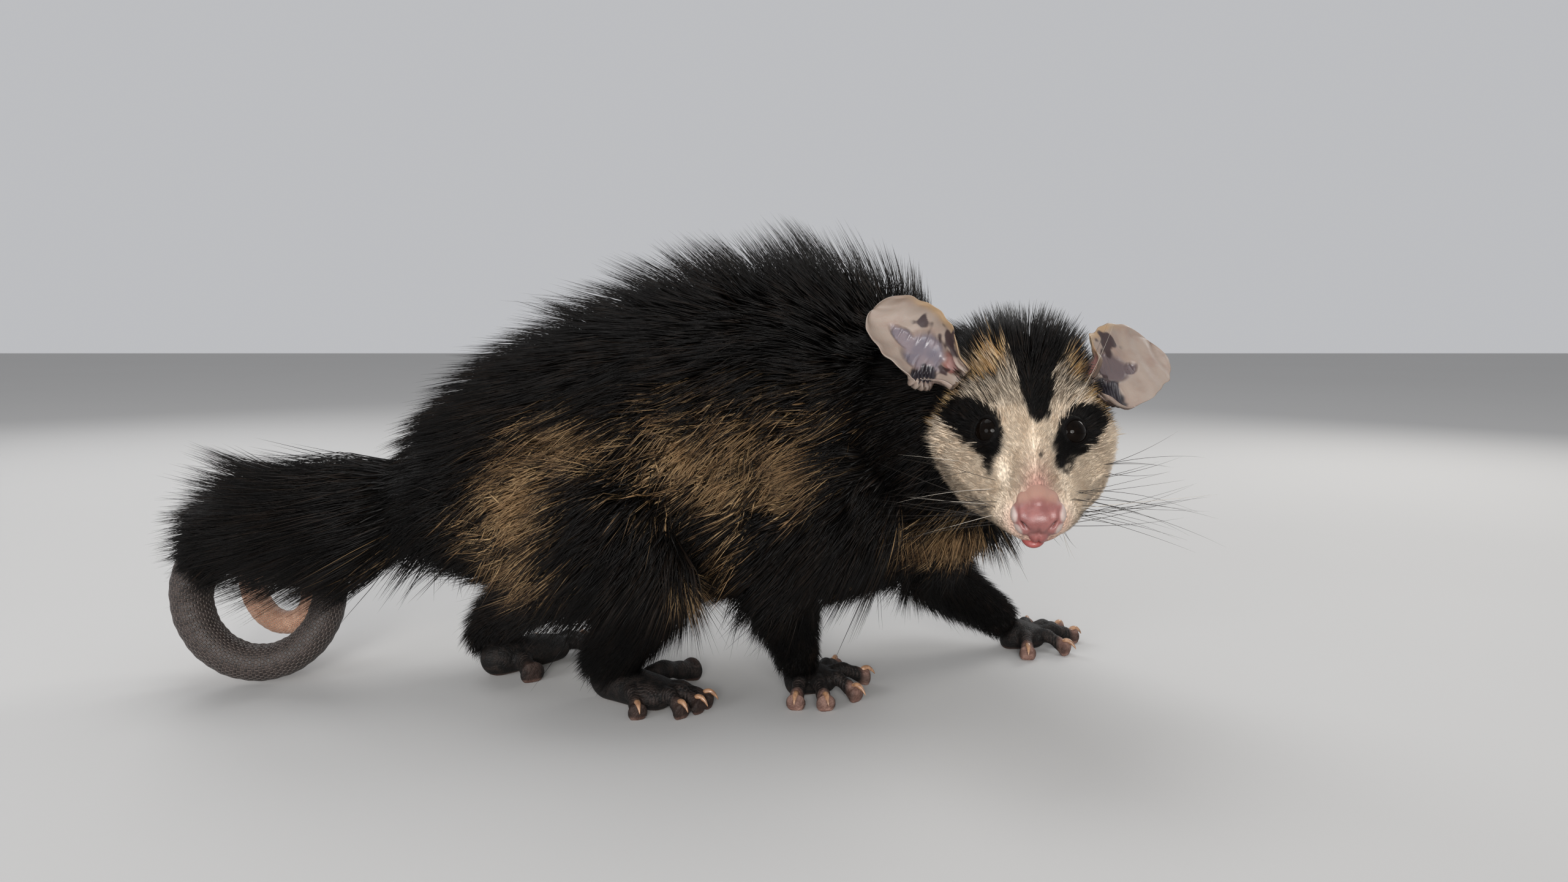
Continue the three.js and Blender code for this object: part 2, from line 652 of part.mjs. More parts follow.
// Neck and trunk: [x, y, z, side, above, below, coat above, coat beside, coat below]
const neckKeys = [
  [40, 2, 114, 28, 40, 44, 28, 12, 14],
  [56, -8, 119, 33, 42, 42, 24, 14, 16],
  [72, -24, 124, 32, 34, 37, 18, 13, 16],
  [86, -42, 128, 29, 28, 31, 14, 12, 14],
  [96, -58, 130, 24, 23, 25, 12, 9, 10],
  [98, -66, 130, 18, 18, 20, 8, 8, 8],
];
const trunkKeys = [
  [-166, -3, 87, 13, 14, 14, 16, 14, 18],
  [-158, -3, 88, 22, 24, 25, 20, 16, 20],
  [-143, -3, 90, 31, 34, 36, 25, 17, 20],
  [-122, -3, 92, 37, 45, 45, 29, 17, 17],
  [-95, -3, 95, 41, 54, 52, 33, 17, 15],
  [-60, -2, 100, 43, 63, 58, 36, 17, 14],
  [-25, 0, 104, 44, 69, 63, 37, 17, 14],
  [8, 1, 106, 43, 69, 65, 37, 17, 14],
  [35, 1, 104, 40, 66, 61, 29, 16, 15],
  [58, -2, 98, 35, 53, 52, 15, 15, 16],
  [76, -7, 91, 27, 37, 38, 14, 14, 14],
  [86, -10, 85, 15, 20, 21, 16, 12, 12],
];
const neckBody = sweptBody(neckKeys, { capStart: 0.16, capEnd: 0.16 });
const trunkBody = sweptBody(trunkKeys, { capStart: 0.1, capEnd: 0.1 });
const coatLie = vec(-1, 0, -0.45);
const neckCoat = coatOf(neckBody, {
  from: 0.3,
  to: 0.8,
  rows: 2,
  count: 7,
  low: 0,
  high: Math.PI * 2,
  lie: coatLie,
  stand: 0.6,
  width: 12,
  lowest: bareUnderside,
});
addNode("neck", "blackCoat", [bodyGeometry(neckBody, 16, 7), ...neckCoat]);

// The trunk is parted at the loin; the front half's coat lies over the rear half.
const loinPlace = 0.46;
const chestCore = bodyGeometry(trunkBody, 18, 9, { from: loinPlace, to: 1, flatStart: true });
const rumpCore = bodyGeometry(trunkBody, 18, 9, { from: 0, to: loinPlace + 0.02, flatEnd: true });
// Hair stands highest over the shoulders and lies almost flat at the rump and on the sides
const trunkStand = (t, angle) => 0.4 + Math.max(0, Math.sin(angle)) ** 2 * (0.75 * t);
const trunkCoat = (from, to, rows, count) =>
  coatOf(trunkBody, {
    from,
    to,
    rows,
    count,
    low: 0,
    high: Math.PI * 2,
    lie: coatLie,
    stand: trunkStand,
    width: 14,
    sink: 2.5,
    lowest: bareUnderside,
  });
const chestCoat = trunkCoat(loinPlace + 0.02, 0.84, 5, 9);
const rumpCoat = trunkCoat(0.12, loinPlace, 5, 9);
addNode("torso_front", "blackCoat", [chestCore, ...chestCoat]);
addNode("torso_rear", "blackCoat", [rumpCore, ...rumpCoat]);

// Tail: a furred root, then one and three quarter turns of a tapering curl
const tailSide = [-4, -8, -8, 3, 32, 31, 19, 12, 11]; // the curl's place across, at each quarter turn
const tailRadius = [10, 8.7, 7.9, 7.2, 6.6, 6, 5.2, 4.6, 3.4];
const quarter = Math.PI / 2;
const curlEnd = 7.2; // quarter turns
const between = (list, q) => {
  const curve = new THREE.CatmullRomCurve3(list.map((v, i) => vec(i, v, 0)), false, "catmullrom");
  return curve.getPoint(q / (list.length - 1)).y;
};
function curlKey(q, coat = 0) {
  const degrees = q * 90;
  const radius = tailCurl.radius - 0.01833 * degrees - 1.852e-5 * degrees ** 2;
  const angle = quarter + q * quarter;
  const r = between(tailRadius, q);
  const x = Math.cos(angle) * radius + tailCurl.x;
  const z = Math.sin(angle) * radius + tailCurl.z;
  return [x, between(tailSide, q), z, r, r, r, coat, coat, coat];
}
const tailRootKeys = [
  [-140, -3, 92, 20, 22, 22, 26, 22, 26],
  [-158, -3, 87, 17, 18, 18, 27, 22, 27],
  [-182, -4, 79, 14, 14, 14, 27, 22, 26],
  [-210, -5, 75, 11.5, 11.5, 11.5, 25, 20, 24],
  curlKey(0, 21),
  curlKey(0.35, 17),
  curlKey(0.7, 10),
];
const across = vec(0, 1, 0);
const rootBody = sweptBody(tailRootKeys, { up: upward, capStart: 0.1, capEnd: 0 });
const rootCoat = coatOf(rootBody, {
  from: 0.36,
  to: 0.85,
  rows: 3,
  count: 5,
  low: 0,
  high: Math.PI * 2,
  lie: (t) => rootBody.frame(t).along,
  stand: 0.45,
  width: 11,
  sink: 4,
});

// The naked lengths use one frame that stays square to the curl's plane, so that no section twists.
const nakedEnds = [0.7, 2.1, 3.4, 4.7, 5.9, curlEnd];
const nakedNames = ["tail_dark_1", "tail_dark_2", "tail_dark_3", "tail_pale", "tail_tip"];
function nakedLength(start, end, last) {
  const keys = [];
  const steps = Math.ceil((end - start) * 4);
  for (let i = 0; i <= steps; i++) keys.push(curlKey(start + ((end - start) * i) / steps));
  const body = sweptBody(keys, { up: across, capStart: 0, capEnd: last ? 0.2 : 0 });
  const gap = clearance / 40;
  return bodyGeometry(body, 9, 9, { from: gap, to: 1, flatStart: true, flatEnd: !last });
}
nakedNames.forEach((name, i) => {
  const dark = i < 3;
  addNode(name, dark ? "darkTail" : "paleTail", [nakedLength(nakedEnds[i], nakedEnds[i + 1], i === 4)]);
});
addNode("tail_root", "blackCoat", [bodyGeometry(rootBody, 12, 9), ...rootCoat]);

const box = new THREE.Box3().setFromObject(opossum);
const middle = box.getCenter(new THREE.Vector3());
opossum.position.set(-middle.x, -middle.y, 0);
opossum.updateMatrixWorld(true);

export default opossum;
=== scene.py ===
import math

import bpy
import numpy as np
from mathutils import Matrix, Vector
from mathutils.bvhtree import BVHTree


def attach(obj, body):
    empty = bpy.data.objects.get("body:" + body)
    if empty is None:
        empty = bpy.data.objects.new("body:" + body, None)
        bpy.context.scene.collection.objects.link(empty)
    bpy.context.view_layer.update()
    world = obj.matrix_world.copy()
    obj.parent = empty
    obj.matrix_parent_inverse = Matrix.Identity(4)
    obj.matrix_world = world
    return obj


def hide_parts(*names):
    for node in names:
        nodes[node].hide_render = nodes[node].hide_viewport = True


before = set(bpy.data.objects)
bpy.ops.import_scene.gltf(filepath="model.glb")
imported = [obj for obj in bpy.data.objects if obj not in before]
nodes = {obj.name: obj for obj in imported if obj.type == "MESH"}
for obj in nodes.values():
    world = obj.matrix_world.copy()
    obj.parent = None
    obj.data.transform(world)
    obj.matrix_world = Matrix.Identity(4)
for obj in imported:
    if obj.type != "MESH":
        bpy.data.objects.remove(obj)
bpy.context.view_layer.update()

rng = np.random.default_rng(20251)
print("frame loaded:", len(nodes), "nodes")

# All shapes are worked out in millimetres, in the frame in which the animal was modelled: +X towards the
# chest, +Y to its left, +Z up. toRow moves them into the row frame, in metres.
headPlace = np.array([92.4, -96.8, 126.3])
headAngles = np.radians([2.5, 22, -99])  # roll, pitch, yaw
eyeSpot = np.array([2, -14.6, 0.3])  # the right eye's node, in the head's own frame


def turnMatrix(angles):
    # roll about X, then pitch about Y, then yaw about Z
    (cr, cp, cy), (sr, sp, sy) = np.cos(angles), np.sin(angles)
    roll = np.array([[1, 0, 0], [0, cr, -sr], [0, sr, cr]])
    pitch = np.array([[cp, 0, sp], [0, 1, 0], [-sp, 0, cp]])
    yaw = np.array([[cy, -sy, 0], [sy, cy, 0], [0, 0, 1]])
    return yaw @ pitch @ roll


headTurn = turnMatrix(headAngles)


def onHead(points):
    # from the head's own frame into the modelling frame
    return np.asarray(points, float) @ headTurn.T + headPlace


def offHead(points):
    return (np.asarray(points, float) - headPlace) @ headTurn


def meshCorners(mesh):
    flat = np.empty(len(mesh.vertices) * 3, np.float32)
    mesh.vertices.foreach_get("co", flat)
    return flat.reshape(-1, 3).astype(float)


eyeCentre = meshCorners(nodes["eye_right"].data).mean(0) * 1000
shift = eyeCentre - onHead(eyeSpot)
shift[2] = 0
print("shift of the modelling frame, mm:", shift.round(2))


def toRow(points):
    # from the modelling frame into the row frame
    return (np.asarray(points, float) + shift) / 1000


def fromRow(mesh):
    # a mesh's corners in the modelling frame
    return meshCorners(mesh) * 1000 - shift


def addObject(name, data):
    added = bpy.data.objects.new(name, data)
    bpy.context.scene.collection.objects.link(added)
    return added


# Camera: its place, pitch and lens, read from the four feet on one floor
cameraSettings = {"place": (0, -528, 172), "down": 6.5, "lens": 26.7}
camera = addObject("camera", bpy.data.cameras.new("camera"))
camera.data.lens = cameraSettings["lens"]
camera.data.sensor_width = 36
camera.data.clip_start = 0.01
camera.location = Vector(toRow(cameraSettings["place"]))
camera.rotation_euler = (math.radians(90 - cameraSettings["down"]), 0, 0)
bpy.context.scene.camera = camera


# Meshes from whole arrays

def unit(vectors):
    return vectors / np.maximum(np.linalg.norm(vectors, axis=-1, keepdims=True), 1e-9)


def dot(a, b):
    return (a * b).sum(-1, keepdims=True)


def smoothstep(x, low, high):
    s = np.clip((x - low) / (high - low), 0, 1)
    return s * s * (3 - 2 * s)


def bump(points, centre, radius):
    # a bell: 1 at the centre, falling off with the square of the distance over the radius
    away = (points - np.asarray(centre, float)) / np.asarray(radius, float)
    return np.exp(-(away**2).sum(-1))


def folded(points):
    # both sides laid on the left one: y without its sign
    return np.stack([points[:, 0], np.abs(points[:, 1]), points[:, 2]], -1)


def turns(count):
    # angles evenly round a circle
    return np.arange(count) / count * 2 * np.pi


def shares(count):
    # shares of the way from one end to the other: an even part and a cosine part, closer near both ends
    even = np.linspace(0.004, 0.996, count)
    return 0.4 * even + 0.6 * (0.5 - 0.5 * np.cos(np.pi * even))


def around(axes, polar, turn):
    # the direction at a polar angle from the first axis and at a turn from the second to the third
    first, second, third = axes
    return np.cos(polar) * first + np.sin(polar) * (np.cos(turn) * second + np.sin(turn) * third)


def putPoints(mesh, points):
    mesh.vertices.foreach_set("co", toRow(points).astype(np.float32).ravel())


def shadeSmooth(mesh):
    mesh.polygons.foreach_set("use_smooth", np.ones(len(mesh.polygons), bool))


def newMesh(name, points, faceSets):
    # points in millimetres; each face set is an array of triangles or of quads
    mesh = bpy.data.meshes.new(name)
    mesh.vertices.add(len(points))
    putPoints(mesh, points)
    corners = np.concatenate([f.ravel() for f in faceSets]).astype(np.int32)
    sizes = np.concatenate([np.full(len(f), f.shape[1]) for f in faceSets])
    starts = np.concatenate([[0], np.cumsum(sizes)[:-1]]).astype(np.int32)
    mesh.loops.add(len(corners))
    mesh.loops.foreach_set("vertex_index", corners)
    mesh.polygons.add(len(sizes))
    mesh.polygons.foreach_set("loop_start", starts)
    mesh.update(calc_edges=True)
    shadeSmooth(mesh)
    return mesh


def newPiece(name, mesh, material, replaced=()):
    piece = addObject(name, mesh)
    mesh.materials.clear()
    mesh.materials.append(material)
    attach(piece, "root")
    if replaced:
        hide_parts(*replaced)
    return piece


def addColour(mesh, name, values):
    # a colour attribute on the corners, from up to four columns
    filled = np.ones((len(values), 4), np.float32)
    filled[:, : values.shape[1]] = values
    attribute = mesh.attributes.new(name, "FLOAT_COLOR", "POINT")
    attribute.data.foreach_set("color", filled.ravel())


def addMap(mesh, name, perLoop):
    layer = mesh.uv_layers.new(name=name)
    layer.data.foreach_set("uv", perLoop.astype(np.float32).ravel())


def loopCorners(mesh):
    index = np.empty(len(mesh.loops), np.int32)
    mesh.loops.foreach_get("vertex_index", index)
    return index


def closedGrid(points, base=0):
    # a grid of rows x columns that closes on itself round its columns, with a fan over each end row
    rows, columns = points.shape[:2]
    corners = np.vstack([points.reshape(-1, 3), points[0].mean(0), points[-1].mean(0)])
    j = np.arange(columns)
    k = (j + 1) % columns
    i = np.arange(rows - 1)[:, None] * columns
    quads = np.stack([i + j, i + k, i + columns + k, i + columns + j], -1).reshape(-1, 4)
    pole = rows * columns
    last = (rows - 1) * columns
    fans = np.vstack([
        np.stack([np.full(columns, pole), k, j], -1),
        np.stack([np.full(columns, pole + 1), last + j, last + k], -1),
    ])
    return corners, quads + base, fans + base


def gridMesh(name, grids, placed=None):
    # one mesh from closed grids, moved by a function if given, and its corners before they are moved
    points, quads, fans, base = [], [], [], 0
    for grid in grids:
        p, q, f = closedGrid(grid, base)
        points.append(p)
        quads.append(q)
        fans.append(f)
        base += len(p)
    points = np.vstack(points)
    return newMesh(name, placed(points) if placed else points, [np.vstack(quads), np.vstack(fans)]), points


def ringGrid(points):
    # a grid that closes on itself both ways
    rows, columns = points.shape[:2]
    j = np.arange(columns)
    k = (j + 1) % columns
    i = np.arange(rows)[:, None] * columns
    n = ((np.arange(rows) + 1) % rows)[:, None] * columns
    return points.reshape(-1, 3), np.stack([i + j, i + k, n + k, n + j], -1).reshape(-1, 4)


def catmull(points, t, even=True):
    # a smooth line through points, at each t from 0 to 1: cubic spans whose end slopes come from the
    # neighbours; when not even, the slopes weigh the square roots of the spans' lengths
    points = np.asarray(points, float)
    count = len(points)
    padded = np.vstack([2 * points[0] - points[1], points, 2 * points[-1] - points[-2]])
    place = np.clip(t, 0, 1) * (count - 1)
    i = np.minimum(np.floor(place).astype(int), count - 2)
    w = (place - i)[..., None]
    p0, p1, p2, p3 = (padded[i + k] for k in range(4))
    if even:
        m1, m2 = (p2 - p0) / 2, (p3 - p1) / 2
    else:
        a, b, c = (
            np.maximum(np.sqrt(np.linalg.norm(q - p, axis=-1, keepdims=True)), 1e-4)
            for p, q in ((p0, p1), (p1, p2), (p2, p3))
        )
        m1 = ((p1 - p0) / a - (p2 - p0) / (a + b) + (p2 - p1) / b) * b
        m2 = ((p2 - p1) / b - (p3 - p1) / (b + c) + (p3 - p2) / c) * b
    return p1 + m1 * w + (3 * (p2 - p1) - 2 * m1 - m2) * w**2 + (2 * (p1 - p2) + m1 + m2) * w**3


class SweptBody:
    # Sections along a smooth line. A key is x, y, z, side, above, below, coat above, coat beside, coat below,
    # peak, jowl. At angle a the section's point is centre + side * cos a * breadth + above * sin a * height;
    # a peak narrows the upper half towards the top, and a jowl squares the lower half.
    def __init__(self, keys, up=(0, 0, 1), capStart=0.12, capEnd=0.12):
        table = np.zeros((len(keys), 11))
        table[:, : len(keys[0])] = keys
        self.centre, self.skin = table[:, :3], table[:, 3:6]
        self.fur, self.form = table[:, [7, 6, 8]], table[:, 9:]
        self.up, self.caps = np.asarray(up, float), (capStart, capEnd)

    def cap(self, t):
        start, end = self.caps
        near = np.ones_like(t)
        if start:
            near = np.minimum(near, t / start)
        if end:
            near = np.minimum(near, (1 - t) / end)
        return np.sqrt(np.clip(1 - (1 - near) ** 2, 0, 1))[..., None]

    def frame(self, t):
        e = 1e-4
        low, high = np.clip(t - e, 0, 1), np.clip(t + e, 0, 1)
        along = unit(catmull(self.centre, high, False) - catmull(self.centre, low, False))
        side = unit(np.cross(self.up, along))
        return along, side, unit(np.cross(along, side))

    def at(self, t, angle):
        t, angle = np.broadcast_arrays(np.asarray(t, float), np.asarray(angle, float))
        _, side, above = self.frame(t)
        size = catmull(self.skin, t) * self.cap(t)
        shape = catmull(self.form, t)
        high, flat = np.sin(angle), np.cos(angle)
        squared = np.sign(flat) * np.abs(flat) ** (1 - shape[..., 1])
        breadth = np.where(high > 0, flat * (1 - shape[..., 0] * high), squared)
        tall = np.where(high > 0, size[..., 1], size[..., 2])
        centre = catmull(self.centre, t, False)
        return centre + side * (breadth * size[..., 0])[..., None] + above * (high * tall)[..., None]

    def normal(self, t, angle):
        e = 0.01
        round_ = self.at(t, angle + e) - self.at(t, angle - e)
        along = self.at(np.minimum(t + e, 1), angle) - self.at(np.maximum(t - e, 0), angle)
        return unit(np.cross(round_, along))

    def coat(self, t, angle):
        fur = catmull(self.fur, t)
        tall = np.where(np.sin(angle) > 0, fur[..., 1], fur[..., 2])
        return np.hypot(np.cos(angle) * fur[..., 0], np.sin(angle) * tall)

    def grid(self, rows, columns):
        return self.at(shares(rows)[:, None], turns(columns)[None, :])

    def scatter(self, count):
        # random places spread evenly by area: cells of a grid are drawn by their area
        cells = 72
        first, last = 0.01, 0.99
        t = np.linspace(first, last, cells + 1)
        a = np.linspace(0, 2 * np.pi, cells + 1)
        p = self.at(t[:, None], a[None, :])
        area = np.linalg.norm(np.cross(p[1:, :-1] - p[:-1, :-1], p[:-1, 1:] - p[:-1, :-1]), axis=-1)
        drawn = rng.choice(cells * cells, count, p=(area / area.sum()).ravel())
        row, column = np.divmod(drawn, cells)
        place = (row + rng.random(count)) / cells, (column + rng.random(count)) / cells
        return first + (last - first) * place[0], 2 * np.pi * place[1]


# Shader graphs: one class wraps a socket, and arithmetic on it adds Math nodes

class Wire:
    def __init__(self, graph, socket):
        self.graph, self.socket = graph, socket

    def math(self, operation, *others):
        values = {i: v for i, v in enumerate((self, *others))}
        return self.graph.node("ShaderNodeMath", {"operation": operation}, values)

    def __add__(self, other):
        return self.math("ADD", other)

    def __sub__(self, other):
        return self.math("SUBTRACT", other)

    def __mul__(self, other):
        return self.math("MULTIPLY", other)

    def __truediv__(self, other):
        return self.math("DIVIDE", other)

    def __pow__(self, other):
        return self.math("POWER", other)

    def __rsub__(self, other):
        return self.graph.node("ShaderNodeMath", {"operation": "SUBTRACT"}, {0: other, 1: self})

    __radd__ = __add__
    __rmul__ = __mul__

    def between(self, low, high):
        # 0 below low, 1 above high, smooth in between
        settings = {"interpolation_type": "SMOOTHSTEP"}
        inputs = {"Value": self, "From Min": low, "From Max": high}
        return self.graph.node("ShaderNodeMapRange", settings, inputs)


class Graph:
    def __init__(self, name, **fixed):
        self.material = bpy.data.materials.new(name)
        self.material.use_nodes = True
        self.tree = self.material.node_tree
        self.tree.nodes.clear()
        self.shader = self.tree.nodes.new("ShaderNodeBsdfPrincipled")
        output = self.tree.nodes.new("ShaderNodeOutputMaterial")
        self.tree.links.new(self.shader.outputs[0], output.inputs[0])
        for key, value in fixed.items():
            self.shader.inputs[key.replace("_", " ")].default_value = value

    def node(self, kind, settings=None, inputs=None, output=0):
        made = self.tree.nodes.new(kind)
        for key, value in (settings or {}).items():
            if key == "stops":
                ramp = made.color_ramp
                while len(ramp.elements) < len(value):
                    ramp.elements.new(0.5)
                for element, (place, colour) in zip(ramp.elements, value):
                    element.position = place
                    element.color = (*colour, 1)
            else:
                setattr(made, key, value)
        for key, value in (inputs or {}).items():
            self.put(made.inputs[key], value)
        return Wire(self, made.outputs[output])

    def put(self, socket, value):
        if isinstance(value, Wire):
            self.tree.links.new(value.socket, socket)
        else:
            socket.default_value = value

    def feed(self, **links):
        for key, value in links.items():
            self.put(self.shader.inputs[key.replace("_", " ")], value)
        return self.material

    def blend(self, factor, first, second, how="MIX"):
        # colours or colour wires, mixed by the factor
        first, second = (c if isinstance(c, Wire) else (*c, 1) for c in (first, second))
        settings = {"data_type": "RGBA", "blend_type": how}
        return self.node("ShaderNodeMix", settings, {0: factor, 6: first, 7: second}, 2)

    def place(self):
        return self.node("ShaderNodeTexCoord", output="Object")

    def noise(self, scale, detail=3.0, vector=None, rough=0.55):
        inputs = {"Scale": scale, "Detail": detail, "Roughness": rough, "Vector": vector or self.place()}
        return self.node("ShaderNodeTexNoise", None, inputs)

    def cracks(self, scale):
        # the distance to the nearest edge of a mosaic of cells
        inputs = {"Scale": scale, "Vector": self.place()}
        return self.node("ShaderNodeTexVoronoi", {"feature": "DISTANCE_TO_EDGE"}, inputs)

    def parts(self, wire, kind):
        # the three parts of a colour or of a vector
        split = self.tree.nodes.new(kind)
        self.tree.links.new(wire.socket, split.inputs[0])
        return [Wire(self, output) for output in split.outputs]

    def attribute(self, name):
        whole = self.node("ShaderNodeAttribute", {"attribute_name": name})
        return self.parts(whole, "ShaderNodeSeparateColor")

    def relief(self, height, strength, distance, normal=None):
        inputs = {"Height": height, "Strength": strength, "Distance": distance}
        if normal:
            inputs["Normal"] = normal
        return self.node("ShaderNodeBump", None, inputs)


# Colours of the coat, shared by the skin and the tufts
coatColours = {
    "black": (0.0045, 0.0040, 0.0038),
    "brown": (0.022, 0.014, 0.0095),
    "tan": (0.21, 0.125, 0.060),
    "tanPale": (0.40, 0.27, 0.14),
    "tanTip": (0.085, 0.050, 0.030),
    "gold": (0.34, 0.195, 0.075),
    "goldPale": (0.54, 0.37, 0.17),
    "cream": (0.86, 0.72, 0.56),
    "creamWarm": (0.68, 0.52, 0.37),
    "pink": (0.52, 0.29, 0.235),
}


def coatGraph(name, roughness, specular, tanNames, lie=None):
    # the marks attribute says how tan, cream and pink the place is; the strand attribute gives the share of
    # the way to the tip and a random share. A skin is given the lie of its coat, as the turn of a frame whose
    # X axis follows the hairs: noise stretched along it stands for the short fur between the tufts.
    fibre = lie is None
    g = Graph(name, Roughness=roughness, Specular_IOR_Level=specular)
    tan, cream, pink = g.attribute("marks")
    along, chance, clump = g.attribute("strand")
    c = coatColours
    patchy = g.noise(140.0, 3.0)
    black = g.blend((patchy * 0.4 + clump * 0.3 + chance * 0.3).between(0.5, 0.95), c["black"], c["brown"])
    tans = g.blend((clump * 0.5 + patchy * 0.5).between(0.3, 0.75), *(c[each] for each in tanNames))
    if fibre:
        tans = g.blend((along + clump * 0.3).between(0.75, 1.15), tans, c["tanTip"])
        tan = (tan * 1.2 - chance * 0.85 - 0.12).between(-0.12, 0.12)
        cream = (cream * 1.3 - chance * 0.3 - 0.5).between(-0.3, 0.3)
    creams = g.blend((chance * 0.35 + patchy * 0.65).between(0.38, 0.72), c["cream"], c["creamWarm"])
    colour = g.blend(tan, black, tans)
    colour = g.blend(cream, colour, creams)
    colour = g.blend(pink, colour, c["pink"])
    if fibre:
        shade = 0.80 + along * 0.2 + chance * 0.1
    else:
        stretch = {"Vector": g.place(), "Rotation": lie, "Scale": (9, 1, 1)}
        streaks = g.noise(1500.0, 3.0, g.node("ShaderNodeMapping", {"vector_type": "TEXTURE"}, stretch))
        shade = 0.45 + streaks.between(0.25, 0.75) * 0.55
    grey = g.node("ShaderNodeCombineColor", None, {0: shade, 1: shade, 2: shade})
    colour = g.blend(1.0, colour, grey, "MULTIPLY")
    if fibre:
        return g.feed(Base_Color=colour)
    return g.feed(Base_Color=colour, Normal=g.relief(streaks, 0.8, 0.0012))


bodyTans, headTans = ("tan", "tanPale"), ("gold", "goldPale")
bodyFurMaterial = coatGraph("body_fur", 0.45, 0.14, bodyTans)
headFurMaterial = coatGraph("head_fur", 0.5, 0.12, headTans)
bodySkinMaterial = coatGraph("body_skin", 0.8, 0.1, bodyTans, (0, math.radians(150), 0))
headSkinMaterial = coatGraph("head_skin", 0.8, 0.1, headTans, tuple(headAngles))

# The trunk's, neck's and limbs' sections, the same as the solids'
neckKeys = [
    [40, 2, 114, 28, 40, 44, 28, 12, 14],
    [56, -8, 119, 33, 42, 42, 24, 14, 16],
    [72, -24, 124, 32, 34, 37, 18, 13, 16],
    [86, -42, 128, 29, 28, 31, 14, 12, 14],
    [96, -58, 130, 24, 23, 25, 12, 9, 10],
    [98, -66, 130, 18, 18, 20, 8, 8, 8],
]
trunkKeys = [
    [-166, -3, 87, 13, 14, 14, 16, 14, 18],
    [-158, -3, 88, 22, 24, 25, 20, 16, 20],
    [-143, -3, 90, 31, 34, 36, 25, 17, 20],
    [-122, -3, 92, 37, 45, 45, 29, 17, 17],
    [-95, -3, 95, 41, 54, 52, 33, 17, 15],
    [-60, -2, 100, 43, 63, 58, 36, 17, 14],
    [-25, 0, 104, 44, 69, 63, 37, 17, 14],
    [8, 1, 106, 43, 69, 65, 37, 17, 14],
    [35, 1, 104, 40, 66, 61, 29, 16, 15],
    [58, -2, 98, 35, 53, 52, 15, 15, 16],
    [76, -7, 91, 27, 37, 38, 14, 14, 14],
    [86, -10, 85, 15, 20, 21, 16, 12, 12],
]
legKeys = {
    "shank_right": [
        [-80, -29, 11, 8, 9, 10, 3, 3, 3],
        [-76, -31, 20, 8.5, 11, 11, 4, 4, 4],
        [-64, -37, 38, 10, 13, 13, 6, 6, 6],
        [-54, -43, 56, 12, 15, 15, 8, 8, 8],
        [-52, -44, 66, 11, 14, 14, 8, 8, 8],
    ],
    "shank_left": [
        [-139, 8, 11, 8, 10, 10, 3, 3, 3],
        [-138, 14, 22, 8.5, 12, 11, 4, 4, 4],
        [-122, 24, 36, 10, 14, 14, 6, 6, 6],
        [-100, 36, 50, 12, 16, 16, 8, 8, 8],
        [-88, 42, 58, 11, 14, 14, 8, 8, 8],
    ],
    "thigh_right": [
        [-56, -42, 54, 12, 14, 15, 10, 10, 10],
        [-62, -43, 64, 15, 22, 24, 14, 12, 14],
        [-78, -41, 80, 17, 30, 32, 16, 14, 20],
        [-96, -34, 96, 16, 30, 32, 18, 14, 22],
        [-108, -24, 110, 12, 20, 20, 16, 12, 16],
    ],
    "thigh_left": [
        [-80, 42, 52, 12, 14, 16, 10, 10, 10],
        [-86, 43, 64, 15, 22, 26, 14, 12, 14],
        [-92, 41, 80, 17, 30, 32, 16, 14, 20],
        [-100, 34, 96, 16, 30, 32, 18, 14, 22],
        [-108, 24, 110, 12, 20, 20, 16, 12, 16],
    ],
    "forearm_right": [
        [7, -23, 11, 7.5, 8.5, 8, 2, 2, 2],
        [5, -26, 22, 8, 9.5, 9, 3, 3, 3],
        [2, -33, 38, 9.5, 11, 10.5, 4, 4, 5],
        [-1, -38, 54, 11, 12.5, 12, 6, 6, 7],
        [-1, -40, 62, 10, 11, 11, 6, 6, 7],
    ],
    "forearm_left": [
        [114, 50, 11, 7.5, 8, 8, 2, 2, 2],
        [106, 49, 18, 8, 9.5, 9, 3, 3, 3],
        [90, 46, 30, 9.5, 11, 11, 4, 4, 5],
        [72, 43, 43, 11, 13, 13, 6, 6, 7],
        [64, 42, 48, 10, 11, 11, 6, 6, 7],
    ],
    "upper_arm_right": [
        [-2, -38, 54, 10, 11, 12, 8, 8, 10],
        [2, -40, 66, 13, 16, 17, 12, 12, 14],
        [16, -38, 84, 15, 22, 22, 14, 12, 16],
        [32, -30, 102, 14, 24, 22, 16, 12, 16],
        [42, -20, 116, 10, 16, 16, 14, 10, 14],
    ],
    "upper_arm_left": [
        [68, 42, 44, 10, 11, 12, 8, 8, 10],
        [66, 42, 56, 13, 16, 17, 12, 12, 14],
        [58, 38, 76, 15, 22, 22, 14, 12, 16],
        [48, 30, 98, 14, 24, 22, 16, 12, 16],
        [44, 20, 112, 10, 16, 16, 14, 10, 14],
    ],
}
